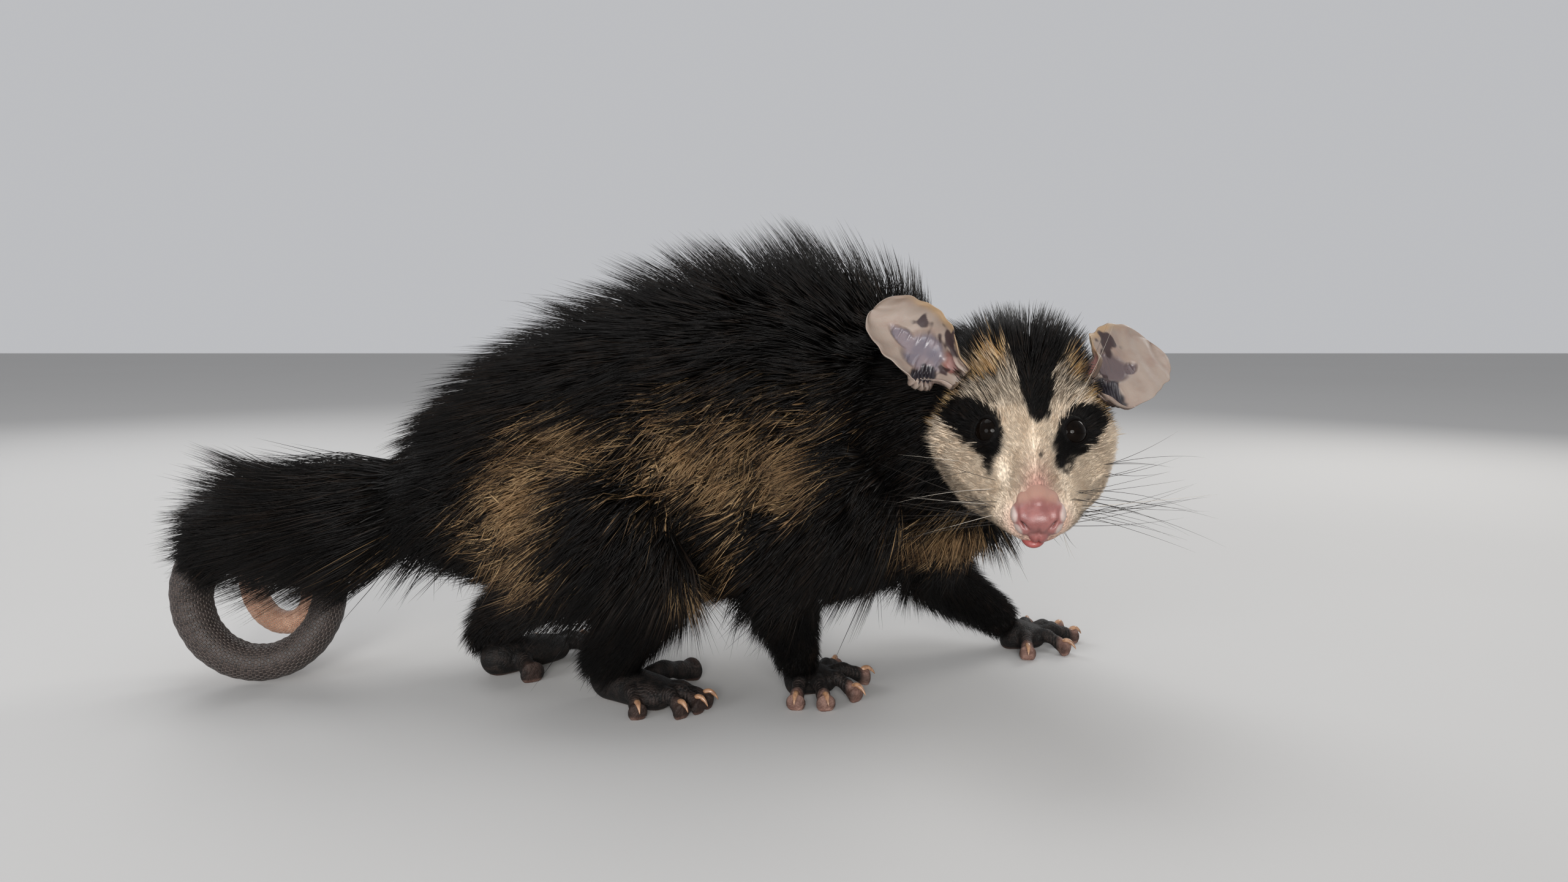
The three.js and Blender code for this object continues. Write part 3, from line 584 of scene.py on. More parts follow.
headKeys = [
    [-52, -2, -5, 13, 14, 13, 6, 4, 4, 0, 0],
    [-45, -3, -6, 23, 21, 22, 10, 5, 5, 0, 0.1],
    [-33, -3.5, -7, 30, 26, 27, 9, 5, 5, 0, 0.2],
    [-18, -3, -8, 32.5, 26, 28, 6, 3.5, 4, 0.15, 0.3],
    [-5, -1.5, -10, 31, 22.5, 26, 3, 2.5, 3.5, 0.45, 0.35],
    [8, -0.5, -12, 27.5, 20, 23, 1.5, 1.5, 2.5, 0.6, 0.35],
    [20, 0, -13, 21.5, 15.5, 16.5, 1.5, 1.5, 2, 0.55, 0.3],
    [31, 0, -13, 15.5, 11.5, 11, 1, 1.5, 1.5, 0.4, 0.2],
    [39, 0, -12.5, 11.5, 9, 9, 0.5, 1, 1, 0.15, 0.1],
    [45, 0, -11, 8.5, 6.5, 6.5, 0, 0, 0, 0, 0],
]

# The tail curls round a centre: quarter turns from its top, with the place across and the radius at each. The
# curl's radius falls with the turn, and faster as it goes on.
tailCurl = {"x": -239, "z": 40, "radius": 33.5, "fall": 0.01833, "faster": 1.852e-5, "start": 0.2, "end": 7.2}
tailSide = [-4, -8, -8, 3, 32, 31, 19, 12, 11]
tailRadius = [10, 8.7, 7.9, 7.2, 6.6, 6, 5.2, 4.6, 3.4]


def curlLine(q):
    # the tail's centre line and radius at q quarter turns: a circle whose radius falls with the turn
    q = np.asarray(q, float)
    degrees = q * 90
    radius = tailCurl["radius"] - tailCurl["fall"] * degrees - tailCurl["faster"] * degrees**2
    angle = np.pi / 2 * (1 + q)
    share = q / (len(tailSide) - 1)
    across = catmull(np.array(tailSide, float)[:, None], share)[..., 0]
    thick = catmull(np.array(tailRadius, float)[:, None], share)[..., 0]
    x = np.cos(angle) * radius + tailCurl["x"]
    return np.stack([x, across, np.sin(angle) * radius + tailCurl["z"]], -1), thick


def curlKey(q, coat=0):
    point, thick = curlLine(q)
    return [*point, thick, thick, thick, coat, coat, coat]


tailRootKeys = [
    [-140, -3, 92, 20, 22, 22, 26, 22, 26],
    [-158, -3, 87, 17, 18, 18, 27, 22, 27],
    [-182, -4, 79, 14, 14, 14, 27, 22, 26],
    [-210, -5, 75, 11.5, 11.5, 11.5, 25, 20, 24],
    curlKey(0, 21),
    curlKey(0.35, 17),
    curlKey(0.7, 10),
]
chestKeys = [
    [44, -4, 92, 26, 26, 26, 12, 12, 12],
    [62, -6, 84, 26, 26, 26, 13, 12, 13],
    [78, -8, 77, 21, 21, 22, 14, 12, 14],
    [91, -10, 72, 13, 14, 15, 14, 12, 14],
]
bodies = {
    "trunk": SweptBody(trunkKeys, capStart=0.1, capEnd=0.1),
    "chest": SweptBody(chestKeys, capStart=0.2, capEnd=0.25),
    "neck": SweptBody(neckKeys, capStart=0.16, capEnd=0.16),
    "tail_root": SweptBody(tailRootKeys, capStart=0.1, capEnd=0),
}
for name, keys in legKeys.items():
    bodies[name] = SweptBody(keys, up=(1, 0, 0), capStart=0.14, capEnd=0.16)
headBody = SweptBody(headKeys, capStart=0.1, capEnd=0.08)


def evaluated(mesh, modifiers):
    # the mesh with a stack of modifiers applied
    holder = addObject("holder", mesh)
    for kind, settings in modifiers:
        modifier = holder.modifiers.new(kind, kind)
        for key, value in settings.items():
            setattr(modifier, key, value)
    bpy.context.view_layer.update()
    graph = bpy.context.evaluated_depsgraph_get()
    result = bpy.data.meshes.new_from_object(holder.evaluated_get(graph))
    bpy.data.objects.remove(holder)
    return result


def fused(name, grids, voxel, smoothing):
    # closed grids fused into one skin: remeshed by voxels of the given size, then smoothed
    mesh, _ = gridMesh(name, grids)
    remesh = {"mode": "VOXEL", "voxel_size": voxel / 1000, "use_smooth_shade": True}
    smooth = {"factor": 0.5, "iterations": smoothing}
    return evaluated(mesh, [("REMESH", remesh), ("SMOOTH", smooth)])


# Markings. The tan patches on the body lie in the plane of its length and height, on both sides.
# A patch with a near value stays to the right of that place across.
tanPatches = [
    {"centre": (-31, 110), "radius": (37, 24), "strength": 0.72},
    {"centre": (-42, 110), "radius": (18, 15), "strength": 0.95},
    {"centre": (-27, 97), "radius": (10, 14), "strength": 0.9},
    {"centre": (1, 103), "radius": (14, 17), "strength": 1.0},
    {"centre": (-25, 66), "radius": (7, 20), "strength": 0.62},
    {"centre": (-36, 52), "radius": (12, 8), "strength": 0.5},
    {"centre": (-90, 115), "radius": (24, 12), "strength": 0.85},
    {"centre": (-111, 92), "radius": (17, 23), "strength": 0.98},
    {"centre": (-112, 62), "radius": (21, 12), "strength": 0.8},
    {"centre": (-128, 76), "radius": (13, 18), "strength": 0.5},
    {"centre": (-182, 60), "radius": (14, 7), "strength": 0.25},
    {"centre": (4, 126), "radius": (28, 14), "strength": 0.42},
    {"centre": (70, 71), "radius": (21, 14), "strength": 1.0, "near": 12},
]


def waves(points, length, seed):
    # a soft random field from -1 to 1: a sum of plane waves of about the given length
    local = np.random.default_rng(seed)
    total = 0
    for k in range(7):
        direction = unit(local.normal(size=3))
        phase = local.random() * 2 * np.pi
        each = length * (0.7 + 0.6 * local.random())
        total = total + np.sin((points @ direction) * 2 * np.pi / each + phase)
    return np.clip(total / 3.2, -1, 1)


def bodyMarks(points):
    # tan, cream and pink shares on the body
    tan = np.zeros(len(points))
    for patch in tanPatches:
        away = (points[:, [0, 2]] - patch["centre"]) / patch["radius"]
        share = patch["strength"] * np.exp(-((away**2).sum(-1)))
        if "near" in patch:
            share = share * smoothstep(points[:, 1], patch["near"] + 12, patch["near"])
        tan = np.maximum(tan, share)
    x, y, z = points.T
    belly = smoothstep(z, 62, 48) * smoothstep(np.abs(y), 30, 15) * smoothstep(np.abs(x + 30), 70, 50)
    tan = np.maximum(tan, 0.4 * belly)
    tan = np.clip(tan * (1 + 0.2 * waves(points, 26, 5) + 0.2 * waves(points, 9, 6)), 0, 1)
    return np.stack([tan, np.zeros_like(tan), np.zeros_like(tan)], -1)


# Face markings, in the head's own frame: the line down its middle, the stripe on it, and bells beside it
faceMiddle = {"x": [-45, -20, 10, 45], "y": [4.5, 2.2, 1.8, 0.3]}
stripe = {"x": [-40, -26, -15, -4, 6, 10], "half": [15, 10.5, 6.8, 5.1, 2.9, 0.0], "crown": 25}
faceBells = {
    "spot": [(21.6, 2.3, 2.7), (1.1, 0.8, 2)],
    # snout: grey-brown fur along the groove beside the bridge, darkened further there as painted shade
    "snoutGreyAndShade": [(25, 9, -5), (9, 3.5, 5)],
    "ear": [(-22, 19, 21), (7, 7.5, 10)],
    "bridge": [(38, 0, -3), (13, 6, 8)],
    "lips": [(41, 0, -20), (9, 8, 4.5)],
    "muzzle": [(44, 0, -11), (6, 13, 11)],
}
# Each eye: its globe's centre, the middle of the skin's opening, where it looks, and its black patch,
# which is the skin within a chain of balls from back to front
eyes = {
    1: {
        "name": "left", "centre": (2.2, 13.5, 0.3), "opening": (6.3, 16.6, 3.3),
        "gaze": (0.68, 0.53, 0.5),
        "patch": [
            (-13, 25, -1, 5), (-6, 19.7, 0.8, 7.4), (0.9, 16.7, 0.5, 7.7), (5.8, 14.3, 0.5, 6.9),
            (11, 11.6, 0, 6), (15.2, 10.2, -1.2, 4.8), (19, 9.6, -2.8, 3.3), (22.5, 11.8, -5.4, 1),
        ],
    },
    -1: {
        "name": "right", "centre": (1.9, -14.7, 1.3), "opening": (5.6, -18.3, 4.7),
        "gaze": (0.61, -0.61, 0.56),
        "patch": [
            (-13.5, -29.5, 2.8, 5.6), (-7.6, -24.9, 4.1, 7.2), (-1.5, -20.2, 3.1, 8.2), (3, -17.5, 2, 7.7),
            (8.7, -14.8, 0.3, 6.1), (11.6, -14.5, -1.7, 4.6), (13.9, -15.4, -3.6, 2.8), (19, -15.5, -5.9, 1),
        ],
    },
}


def chainDepth(points, chain):
    # how far points lie inside a chain of balls: between two balls the centre and the radius go straight
    depth = np.full(len(points), -99.0)
    for a, b in zip(chain, chain[1:]):
        span = (b - a)[:3]
        share = np.clip((points - a[:3]) @ span / (span @ span), 0, 1)
        gap = np.linalg.norm(points - a[:3] - share[:, None] * span, axis=-1)
        depth = np.maximum(depth, a[3] + share * (b[3] - a[3]) - gap)
    return depth


def faceMarks(points, ragged=1.0):
    # points in the head's frame; returns tan, cream and pink shares
    x, z = points[:, 0], points[:, 2]
    y = points[:, 1] - np.interp(x, faceMiddle["x"], faceMiddle["y"])
    centred = np.stack([x, y, z], -1)
    both = folded(centred)
    fray = ragged * waves(points, 3.1, 8) * 0.9
    pair = eyes.values()
    depth = np.maximum.reduce([chainDepth(points, np.array(each["patch"], float)) for each in pair])
    patch = smoothstep((depth + fray) / (1.0 + 1.2 * smoothstep(x, 4, 11)), -1, 1)
    fromEyes = np.min([np.linalg.norm(points - np.array(each["opening"]), axis=-1) for each in pair], axis=0)
    patch = np.maximum(patch, smoothstep(fromEyes + 0.6 * fray, 8.2, 6.6))
    width = np.interp(x, stripe["x"], stripe["half"])
    line = smoothstep(width - np.abs(y) + fray, -0.8, 0.8) * (x < stripe["x"][-1] + 0.5)
    crown = smoothstep(-x + fray * 2 - 0.25 * np.abs(y), stripe["crown"] - 3, stripe["crown"] + 3)
    cheek = -x + fray * 2 - 0.5 * np.maximum(-z - 4, 0)
    behind = smoothstep(cheek, 17, 23) * smoothstep(z, 16, 8)
    spot = 1.5 * bump(points, *faceBells["spot"])
    # the darker band beside the bridge is partly grey-brown fur and partly painted shade in the groove there
    snoutGreyAndShade = 0.22 * bump(both, *faceBells["snoutGreyAndShade"])
    dark = np.clip(np.maximum.reduce([patch, line, crown * (z > 4), behind, spot, snoutGreyAndShade]), 0, 1)
    forehead = smoothstep(z, 4, 12) * smoothstep(x, 10, -4)
    cream = (1 - dark) * (1 - 0.5 * forehead)
    gold = np.clip(1.4 * bump(both, *faceBells["ear"]) * (1 - line), 0, 1)
    edge = smoothstep(cheek, 13, 17) * smoothstep(cheek, 25, 20) * smoothstep(z, 14, 6)
    tan = np.maximum(gold, 0.7 * edge * (1 - patch))
    cream = np.maximum(cream * (1 - 0.8 * tan), 0.4 * gold)
    bells = [
        1.15 * bump(centred, *faceBells["bridge"]),
        1.2 * bump(both, *faceBells["lips"]),
        1.1 * bump(both, *faceBells["muzzle"]),
    ]
    pink = np.clip(np.maximum.reduce(bells), 0, 1) * (1 - dark)
    return np.stack([tan, cream, pink], -1)


# Body skin
bodySkin = {"voxel": 2.3, "smoothing": 5, "body": (44, 56), "limb": (26, 32)}
grids = [body.grid(*bodySkin["limb" if name in legKeys else "body"]) for name, body in bodies.items()]
skinMesh = fused("skin_body", grids, bodySkin["voxel"], bodySkin["smoothing"])
skinPoints = fromRow(skinMesh)
addColour(skinMesh, "marks", bodyMarks(skinPoints))
addColour(skinMesh, "strand", np.full((len(skinPoints), 3), 0.4))
furNodes = ["neck", "torso_front", "torso_rear", "tail_root", *legKeys]
newPiece("skin_body", skinMesh, bodySkinMaterial, furNodes)
print("body skin:", len(skinMesh.polygons), "faces")

# Head skin: the loft of the head, pushed in and out along its normals by bells and one groove
headRelief = [
    {"at": (-3, 13, 11), "radius": (7, 7, 4), "height": 0.8},
    {"at": (8, 24, -10), "radius": (12, 7, 9), "height": -0.8},
    {"at": (18, 19, -15), "radius": (14, 7, 9), "height": -2.4, "side": 1},
    {"at": (32, 9.5, -14.5), "radius": (8, 6, 6), "height": 2.4},
    {"at": (27, 8, -4), "radius": (11, 3.5, 4.5), "height": -1.6},
    {"at": (36, 0, -23.5), "radius": (7, 7, 4), "height": 2.2},
    {"at": (-20, 10, 18), "radius": (14, 7, 8), "height": 0.8},
]
# The mouth's line, by shares along the head and angles round it
mouthSpots = [(0.985, -1.45), (0.9, -0.95), (0.8, -0.7), (0.68, -0.55), (0.58, -0.42)]
mouth = {"depth": 1.7, "half": 0.8, "spots": mouthSpots}


def mouthCurve(side):
    # a smooth line through the mouth's spots on the loft, mirrored for the right side
    spots = np.array(mouth["spots"])
    angle = spots[:, 1] if side > 0 else np.pi - spots[:, 1]
    return catmull(headBody.at(spots[:, 0], angle), np.linspace(0, 1, 60))


# Both eyes: the globe and its cornea, the skin's radius in the opening and on the lids and how far out it is
# moved, the opening's half width and heights, and the lid's thickness, breadth and gap
eye = {
    "radius": 6.1, "cornea": 0.25, "corneaAngle": 0.55, "inside": 4.6, "cover": 6.85, "near": 30,
    "half": 4.8, "up": 4.5, "down": 4.2, "lid": 0.42, "breadth": 0.2, "gap": 0.05,
}


def eyeFrame(side):
    # the gaze, the level way across it, and the way up at right angles to both
    gaze = unit(np.array(eyes[side]["gaze"]))
    across = unit(np.cross([0, 0, 1], gaze))
    return gaze, across, np.cross(gaze, across)


def fromEye(points, side):
    # the way from the globe's centre, its length and its angle from the gaze
    away = points - np.array(eyes[side]["centre"])
    polar = np.arccos(np.clip(unit(away) @ eyeFrame(side)[0], -1, 1))
    return away, np.linalg.norm(away, axis=-1), polar


def raiseLids(points, side):
    # pushes points away from the globe's centre to a radius that lies under the globe in the opening, over
    # it on the lids, and fades out towards the globe's back; the two radii meet by a smooth maximum
    away, distance, polar = fromEye(points, side)
    least = eye["inside"] + (eye["cover"] - eye["inside"]) * smoothstep(polar, 0.66, 0.9)
    least = least * smoothstep(polar, 2.2, 1.35)
    gap = distance - least
    grown = least + 0.5 * (gap + np.sqrt(gap**2 + 0.5))
    pushed = np.where(distance < eye["near"], np.maximum(grown, distance), distance)
    return np.array(eyes[side]["centre"]) + away * (pushed / np.maximum(distance, 1e-6))[:, None]


def headSurface(t, angle):
    # the loft's point plus its normal times the sum of bells, less a groove along the mouth, then raised
    # over the globes
    points = headBody.at(t, angle)
    flat = points.reshape(-1, 3)
    normal = headBody.normal(t, angle).reshape(-1, 3)
    height = np.zeros(len(flat))
    for bell in headRelief:
        onSide = np.sign(flat[:, 1]) == bell["side"] if "side" in bell else 1
        height = height + onSide * bell["height"] * bump(folded(flat), bell["at"], bell["radius"])
    near = np.full(len(flat), 1e9)
    for side in (1, -1):
        for spot in mouthCurve(side):
            near = np.minimum(near, np.linalg.norm(flat - spot, axis=-1))
    height = height - mouth["depth"] * np.exp(-((near / mouth["half"]) ** 2))
    flat = flat + normal * height[:, None]
    for side in (1, -1):
        flat = raiseLids(flat, side)
    return flat.reshape(points.shape)


headSkin = {"rows": 190, "columns": 180}
grid = headSurface(shares(headSkin["rows"])[:, None], turns(headSkin["columns"])[None, :])
headMesh, points = gridMesh("skin_head", [grid], onHead)
addColour(headMesh, "marks", faceMarks(points))
addColour(headMesh, "strand", np.full((len(points), 3), 0.4))
newPiece("skin_head", headMesh, headSkinMaterial, ["head"])
print("head skin:", len(headMesh.polygons), "faces")

# Eyeballs: a sphere with a slightly raised cornea, and lids round them
lidProfile = [
    (0, 0.1), (0, 0.5), (0.05, 0.9), (0.2, 1.15), (0.5, 1.2), (0.8, 1),
    (1, 0.6), (1, 0.2), (0.5, 0.08), (0.1, 0.05),
]


def eyeGlobe(side):
    # polar angle from the gaze and turn round it; the radius grows by a bell round the gaze
    polar = np.linspace(0.02, np.pi - 0.02, 40)[:, None, None]
    radius = eye["radius"] + eye["cornea"] * np.exp(-((polar / eye["corneaAngle"]) ** 2))
    way = around(eyeFrame(side), polar, turns(56)[None, :, None])
    return (np.array(eyes[side]["centre"]) + radius * way)[::-1]


def lidRing(side):
    # a closed ring round the opening, an ellipse with drawn-out corners; its profile, in shares of the
    # lid's breadth and thickness, runs out over the globe and back under itself
    turn = turns(72)[None, :]
    height = np.where(np.sin(turn) > 0, eye["up"], eye["down"])
    corner = 1 + 0.1 * np.abs(np.cos(turn)) ** 6
    reach = np.hypot(eye["half"] * np.cos(turn) * corner, height * np.sin(turn))
    opening = np.arcsin(reach / (eye["radius"] + 0.4))
    profile = np.array(lidProfile)
    polar = opening + profile[:, :1] * eye["breadth"]
    radius = eye["radius"] + eye["gap"] + eye["lid"] * profile[:, 1:]
    way = around(eyeFrame(side), polar[..., None], turn[..., None])
    return (np.array(eyes[side]["centre"]) + radius[..., None] * way)[::-1]


eyeGraph = Graph("eye_dark", Roughness=0.04, Specular_IOR_Level=0.06)
mottled = eyeGraph.noise(900.0, 2.0)
eyeBrown = eyeGraph.blend(mottled, (0.001, 0.0008, 0.0008), (0.005, 0.003, 0.002))
eyeMaterial = eyeGraph.feed(Base_Color=eyeBrown)
lidGraph = Graph("lid_skin", Specular_IOR_Level=0.03)
grain = lidGraph.noise(1600.0, 3.0)
lidMaterial = lidGraph.feed(
    Base_Color=lidGraph.blend(grain, (0.002, 0.0018, 0.0018), (0.005, 0.004, 0.0038)),
    Roughness=0.8 + grain * 0.15,
    Normal=lidGraph.relief(grain, 0.3, 0.0004),
)
for side in (-1, 1):
    name = eyes[side]["name"]
    globe, _ = gridMesh(f"eyeball_{name}", [eyeGlobe(side)], onHead)
    newPiece(f"eyeball_{name}", globe, eyeMaterial, [f"eye_{name}"])
    points, quads = ringGrid(lidRing(side))
    newPiece(f"lids_{name}", newMesh(f"lids_{name}", onHead(points), [quads]), lidMaterial)

# Nose: ellipsoids fused by voxels, the ones off the middle on both sides; then pushed out and in from its
# core by bells, in along the cleft down its middle, and back along a slanting slit at each nostril
nose = {"voxel": 0.55, "smoothing": 4, "middle": (0, 0.5, 0), "core": (38.0, 0, -11.5)}
noseParts = [
    {"at": (42.4, 0, -10.9), "size": (6.2, 7.2, 5.5)},
    {"at": (36, 0, -5.5), "size": (8, 4.7, 3.0)},
    {"at": (41.6, 5.3, -9.6), "size": (5.3, 4.0, 4.2)},
    {"at": (41.8, 4.4, -13.0), "size": (5.6, 4.1, 4.2)},
    {"at": (38.0, 4.0, -6.9), "size": (6, 3.4, 3.0)},
    {"at": (41.4, 0, -16.8), "size": (5.8, 4.1, 3.9)},
]
# A nostril's radius is given ahead, along the slit and across it
nostril = {"at": (46.4, 4.9, -11.3), "radius": (3.4, 1.8, 0.55), "depth": 2.4}
cleft = {"depth": 0.8, "half": 0.45, "top": -10.5, "full": -13.5}
noseForms = [
    {"at": (44, 8.4, -10), "radius": (4, 1.5, 3.2), "height": 0.5},
    {"at": (44, 7.2, -8.5), "radius": (4, 0.8, 2.8), "height": -0.8},
    {"at": (40, 5.2, -4.6), "radius": (3, 1.8, 1.4), "height": -0.7},
    {"at": (46, 3.2, -9.5), "radius": (5, 2.6, 2.6), "height": 0.35},
]
# pale wings beside the nostrils: pale skin with a painted highlight on them
nosePaleHighlights = [[(44, 8.8, -9), (6, 1.7, 3.2)], [(44, 7.2, -14), (6, 2.2, 2.8)]]
# creases beside the wings, where the nose's forms dent it, darkened as painted shade
noseCreaseShade = [(0.45, (40, 5.4, -4.8), (3, 1.6, 1.2)), (0.4, (44.5, 7.2, -8.5), (3.5, 0.7, 2.6))]


def ellipsoidGrid(centre, size, rows=30, columns=40):
    # directions at even polar angles from the back to the front, times the three half sizes
    polar = np.linspace(0.03, np.pi - 0.03, rows)[:, None, None]
    x, y, z = np.eye(3)
    way = around((-x, y, z), polar, turns(columns)[None, :, None])
    return np.asarray(centre) + way * np.asarray(size)


noseMiddle = np.array(nose["middle"])
grids = []
for part in noseParts:
    for side in (1, -1) if part["at"][1] else (1,):
        grids.append(onHead(ellipsoidGrid(np.array(part["at"]) * [1, side, 1], part["size"]) + noseMiddle))
noseMesh = fused("nose", grids, nose["voxel"], nose["smoothing"])
points = offHead(fromRow(noseMesh)) - noseMiddle
both = folded(points)
ahead, out, up = (both - nostril["at"]).T
slanted = np.stack([ahead, (out + up) / np.sqrt(2), (out - up) / np.sqrt(2)], -1)
# the nostril slit, dented back below and painted near black: painted shade of the opening
dark = bump(slanted, (0, 0, 0), nostril["radius"])
groove = cleft["depth"] * np.exp(-((points[:, 1] / cleft["half"]) ** 2))
groove = groove * smoothstep(points[:, 2], cleft["top"], cleft["full"])
swell = sum(form["height"] * bump(both, form["at"], form["radius"]) for form in noseForms)
points = points + unit(points - np.array(nose["core"])) * (swell - groove)[:, None]
points[:, 0] -= nostril["depth"] * dark
putPoints(noseMesh, onHead(points + noseMiddle))
# pale: the wings' pale skin and their painted highlight
pale = smoothstep(np.maximum.reduce([bump(both, *bell) for bell in nosePaleHighlights]), 0.3, 0.65)
# painted shade in the cleft and in the creases beside the wings
creaseShade = 0.25 * groove + sum(share * bump(both, *bell) for share, *bell in noseCreaseShade)
red = 0.6 * smoothstep(points[:, 2], -15, -19)
bare = smoothstep(44.5 - points[:, 0], 0.5, 5) * smoothstep(points[:, 2], -8, -5)
addColour(noseMesh, "tone", np.stack([np.clip(dark + creaseShade, 0, 1), pale * (1 - dark), red], -1))
addColour(noseMesh, "bare", np.stack([bare, bare, bare], -1))
shadeSmooth(noseMesh)
noseGraph = Graph(
    "nose_skin", Specular_IOR_Level=0.55, Subsurface_Weight=0.25, Subsurface_Radius=(0.004, 0.0015, 0.001)
)
paintedShadeTone, paleHighlightTone, redTone = noseGraph.attribute("tone")
bareTone = noseGraph.attribute("bare")[0]
pores = noseGraph.cracks(1500.0)
blotch = noseGraph.noise(260.0, 3.0)
pinks = noseGraph.blend(blotch.between(0.35, 0.7), (0.18, 0.064, 0.058), (0.235, 0.092, 0.083))
pinks = noseGraph.blend(bareTone, pinks, (0.29, 0.155, 0.115))
# the wings lightened: pale skin and painted highlight
pinks = noseGraph.blend(paleHighlightTone, pinks, (0.37, 0.29, 0.262))
pinks = noseGraph.blend(redTone, pinks, (0.25, 0.052, 0.046))
# nostrils and creases darkened: painted shade
pinks = noseGraph.blend(paintedShadeTone.between(0.3, 0.9), pinks, (0.06, 0.012, 0.012))
noseMaterial = noseGraph.feed(
    Base_Color=pinks,
    Roughness=0.28 + blotch * 0.25 + bareTone * 0.25,
    Normal=noseGraph.relief(pores.between(0.0, 0.25), 0.12, 0.0003),
)
newPiece("nose_pad", noseMesh, noseMaterial, ["nose"])

# Lower lip, a soft roll under the mouth line
lip = {"at": (38.6, -1.1, -21.2), "size": (6.4, 4.3, 2.6), "red": 0.9}
lipMesh, points = gridMesh("lip", [ellipsoidGrid(lip["at"], lip["size"], 40, 48)], onHead)
addColour(lipMesh, "tone", np.tile([0.0, 0.0, lip["red"]], (len(points), 1)))
newPiece("lower_lip", lipMesh, noseMaterial)
print("eyes, lids and nose done")

# Ears: a thin sheet that starts as a funnel and opens, with ridges inside; closed round its rim. Its
# patches are places on the sheet, across and up, with their two radii.
earShape = {"length": 48, "width": 36, "thick": 1.1, "back": 5, "funnel": 2.1, "shoulder": 0.45}
ears = {
    "right": {
        "root": (-22, -26.5, 10), "rise": (-0.46, -0.70, 0.54), "open": (0.75, 0.15, 0.64),
        "cup": 1.2, "hand": 1, "brown": 0.0, "sag": (0.26, 0.12, 4.2),
        "membrane": [(-0.04, 0.40, 0.5, 0.20), (-0.06, 0.62, 0.2, 0.17)],
        "pocket": (-0.62, 0.26, 0.52, 0.1), "pink": (0.27, 0.17, 0.26, 0.13),
        "blotches": [(0.48, 0.57, 0.16, 0.07), (0.69, 0.28, 0.26, 0.11), (-0.05, 0.18, 0.2, 0.04)],
    },
    "left": {
        "root": (-23, 23.2, 4), "rise": (-0.79, 0.59, 0.14), "open": (0.83, -0.1, 0.55),
        "cup": 0.45, "hand": -1, "brown": 0.8, "sag": (0.19, 0.16, 10),
        "membrane": [(0.12, 0.39, 0.42, 0.18), (-0.15, 0.53, 0.16, 0.09)],
        "pocket": (-0.28, 0.14, 0.5, 0.12), "pink": (0.85, 0.12, 0.35, 0.14),
        "blotches": [(0.6, 0.53, 0.27, 0.1), (-0.1, 0.24, 0.3, 0.05)],
    },
}


def earSheet(ear, s, t):
    # across s from -1 to 1 the sheet is an arc of wrap radians each way; up t from 0 to 1 it widens to its
    # shoulder, rounds off above it, and leans back with the square of t; its lower rim sags
    up = unit(np.array(ear["rise"], float))
    face = np.array(ear["open"], float)
    face = unit(face - up * (face @ up))
    wide = np.cross(up, face)
    shoulder, funnel = earShape["shoulder"], earShape["funnel"]
    past = np.maximum(t - shoulder, 0) / (1 - shoulder)
    tip = np.sqrt(np.clip(1 - past**2.5, 0, 1))
    scallop = 1 + 0.02 * np.sin(t * 23 + ear["hand"]) + 0.015 * np.sin(t * 41) * np.sign(s)
    half = earShape["width"] / 2 * (0.6 + 0.4 * smoothstep(t, 0, shoulder)) * tip * scallop
    at, width, depth = ear["sag"]
    sag = depth * smoothstep(-s * ear["hand"], 0.15, 1) * np.exp(-(((t - at) / width) ** 2))
    wrap = funnel + (ear["cup"] - funnel) * smoothstep(t, 0, 0.5)
    radius = half / wrap
    sweep = s * wrap
    wavy = 0.35 * np.sin(s * 5 + t * 9) * t
    out = radius * (1 - np.cos(sweep)) - earShape["back"] * t * t + wavy
    return (
        np.array(ear["root"])
        + up * (earShape["length"] * t)[..., None]
        + wide * (radius * np.sin(sweep))[..., None]
        + face * out[..., None]
        - np.array([0, 0, 1.0]) * sag[..., None]
    )


def earSpot(spot, place):
    # a bell on the ear's sheet
    return bump(spot, place[:2], place[2:])


def membraneShare(ear, spot):
    # the highest of the membrane's bells, with its edge sharpened
    bells = np.maximum.reduce([earSpot(spot, place) for place in ear["membrane"]])
    return smoothstep(bells, 0.28, 0.6)


def earGrid(ear, rows=190, columns=150):
    # the sheet and its back, a thickness apart, as one loop of columns; the membrane lies deeper, with
    # wrinkles across it, and the pocket below it is ribbed; wrinkles and ribs move both faces alike
    t = (np.linspace(0, 1, rows) ** 0.9)[:, None]
    way = np.linspace(0, 2, columns, endpoint=False)[None, :]
    front = way < 1
    s = np.where(front, 1 - 2 * way, -1 + 2 * (way - 1)) * (1 - 1e-3)
    t, s = np.broadcast_arrays(t, s)
    e = 0.01
    ds = earSheet(ear, s + e, t) - earSheet(ear, s - e, t)
    dt = earSheet(ear, s, np.minimum(t + e, 0.999)) - earSheet(ear, s, np.maximum(t - e, 0.001))
    normal = unit(np.cross(ds, dt))
    rim = smoothstep(1 - np.maximum(np.abs(s), t), 0, 0.12) * 0.7 + 0.3
    spot = np.stack([s * ear["hand"], t], -1)
    membrane = membraneShare(ear, spot)
    pocket = smoothstep(earSpot(spot, ear["pocket"]), 0.3, 0.7)
    across = t - 0.187 * s * ear["hand"]
    uneven = 0.5 + 0.5 * np.sin(s * 7 + t * 11)
    wrinkle = np.maximum(np.sin(across * 76 + 1.6 * np.sin(s * 4)), 0) ** 2
    ribs = np.sin(across * 210)
    ridge = earSpot(spot, (0.5, 0.12, 0.07, 0.14))
    folds = membrane * (0.7 * wrinkle * uneven - 1.6) + pocket * (0.9 * ribs - 2.4)
    folds = folds - 2.4 * smoothstep(earSpot(spot, ear["pink"]), 0.3, 0.8)
    folds = folds + 1.3 * ridge + 0.25 * np.sin(t * 30 + s * 7) * (1 - membrane)
    thick = rim * earShape["thick"] / 2
    towards = np.sign(dot(unit(np.array(ear["open"], float)), normal))
    front = np.broadcast_to(front, s.shape)
    height = np.where(front, thick, -thick) + folds * rim
    return earSheet(ear, s, t) + normal * towards * height[..., None], spot, front


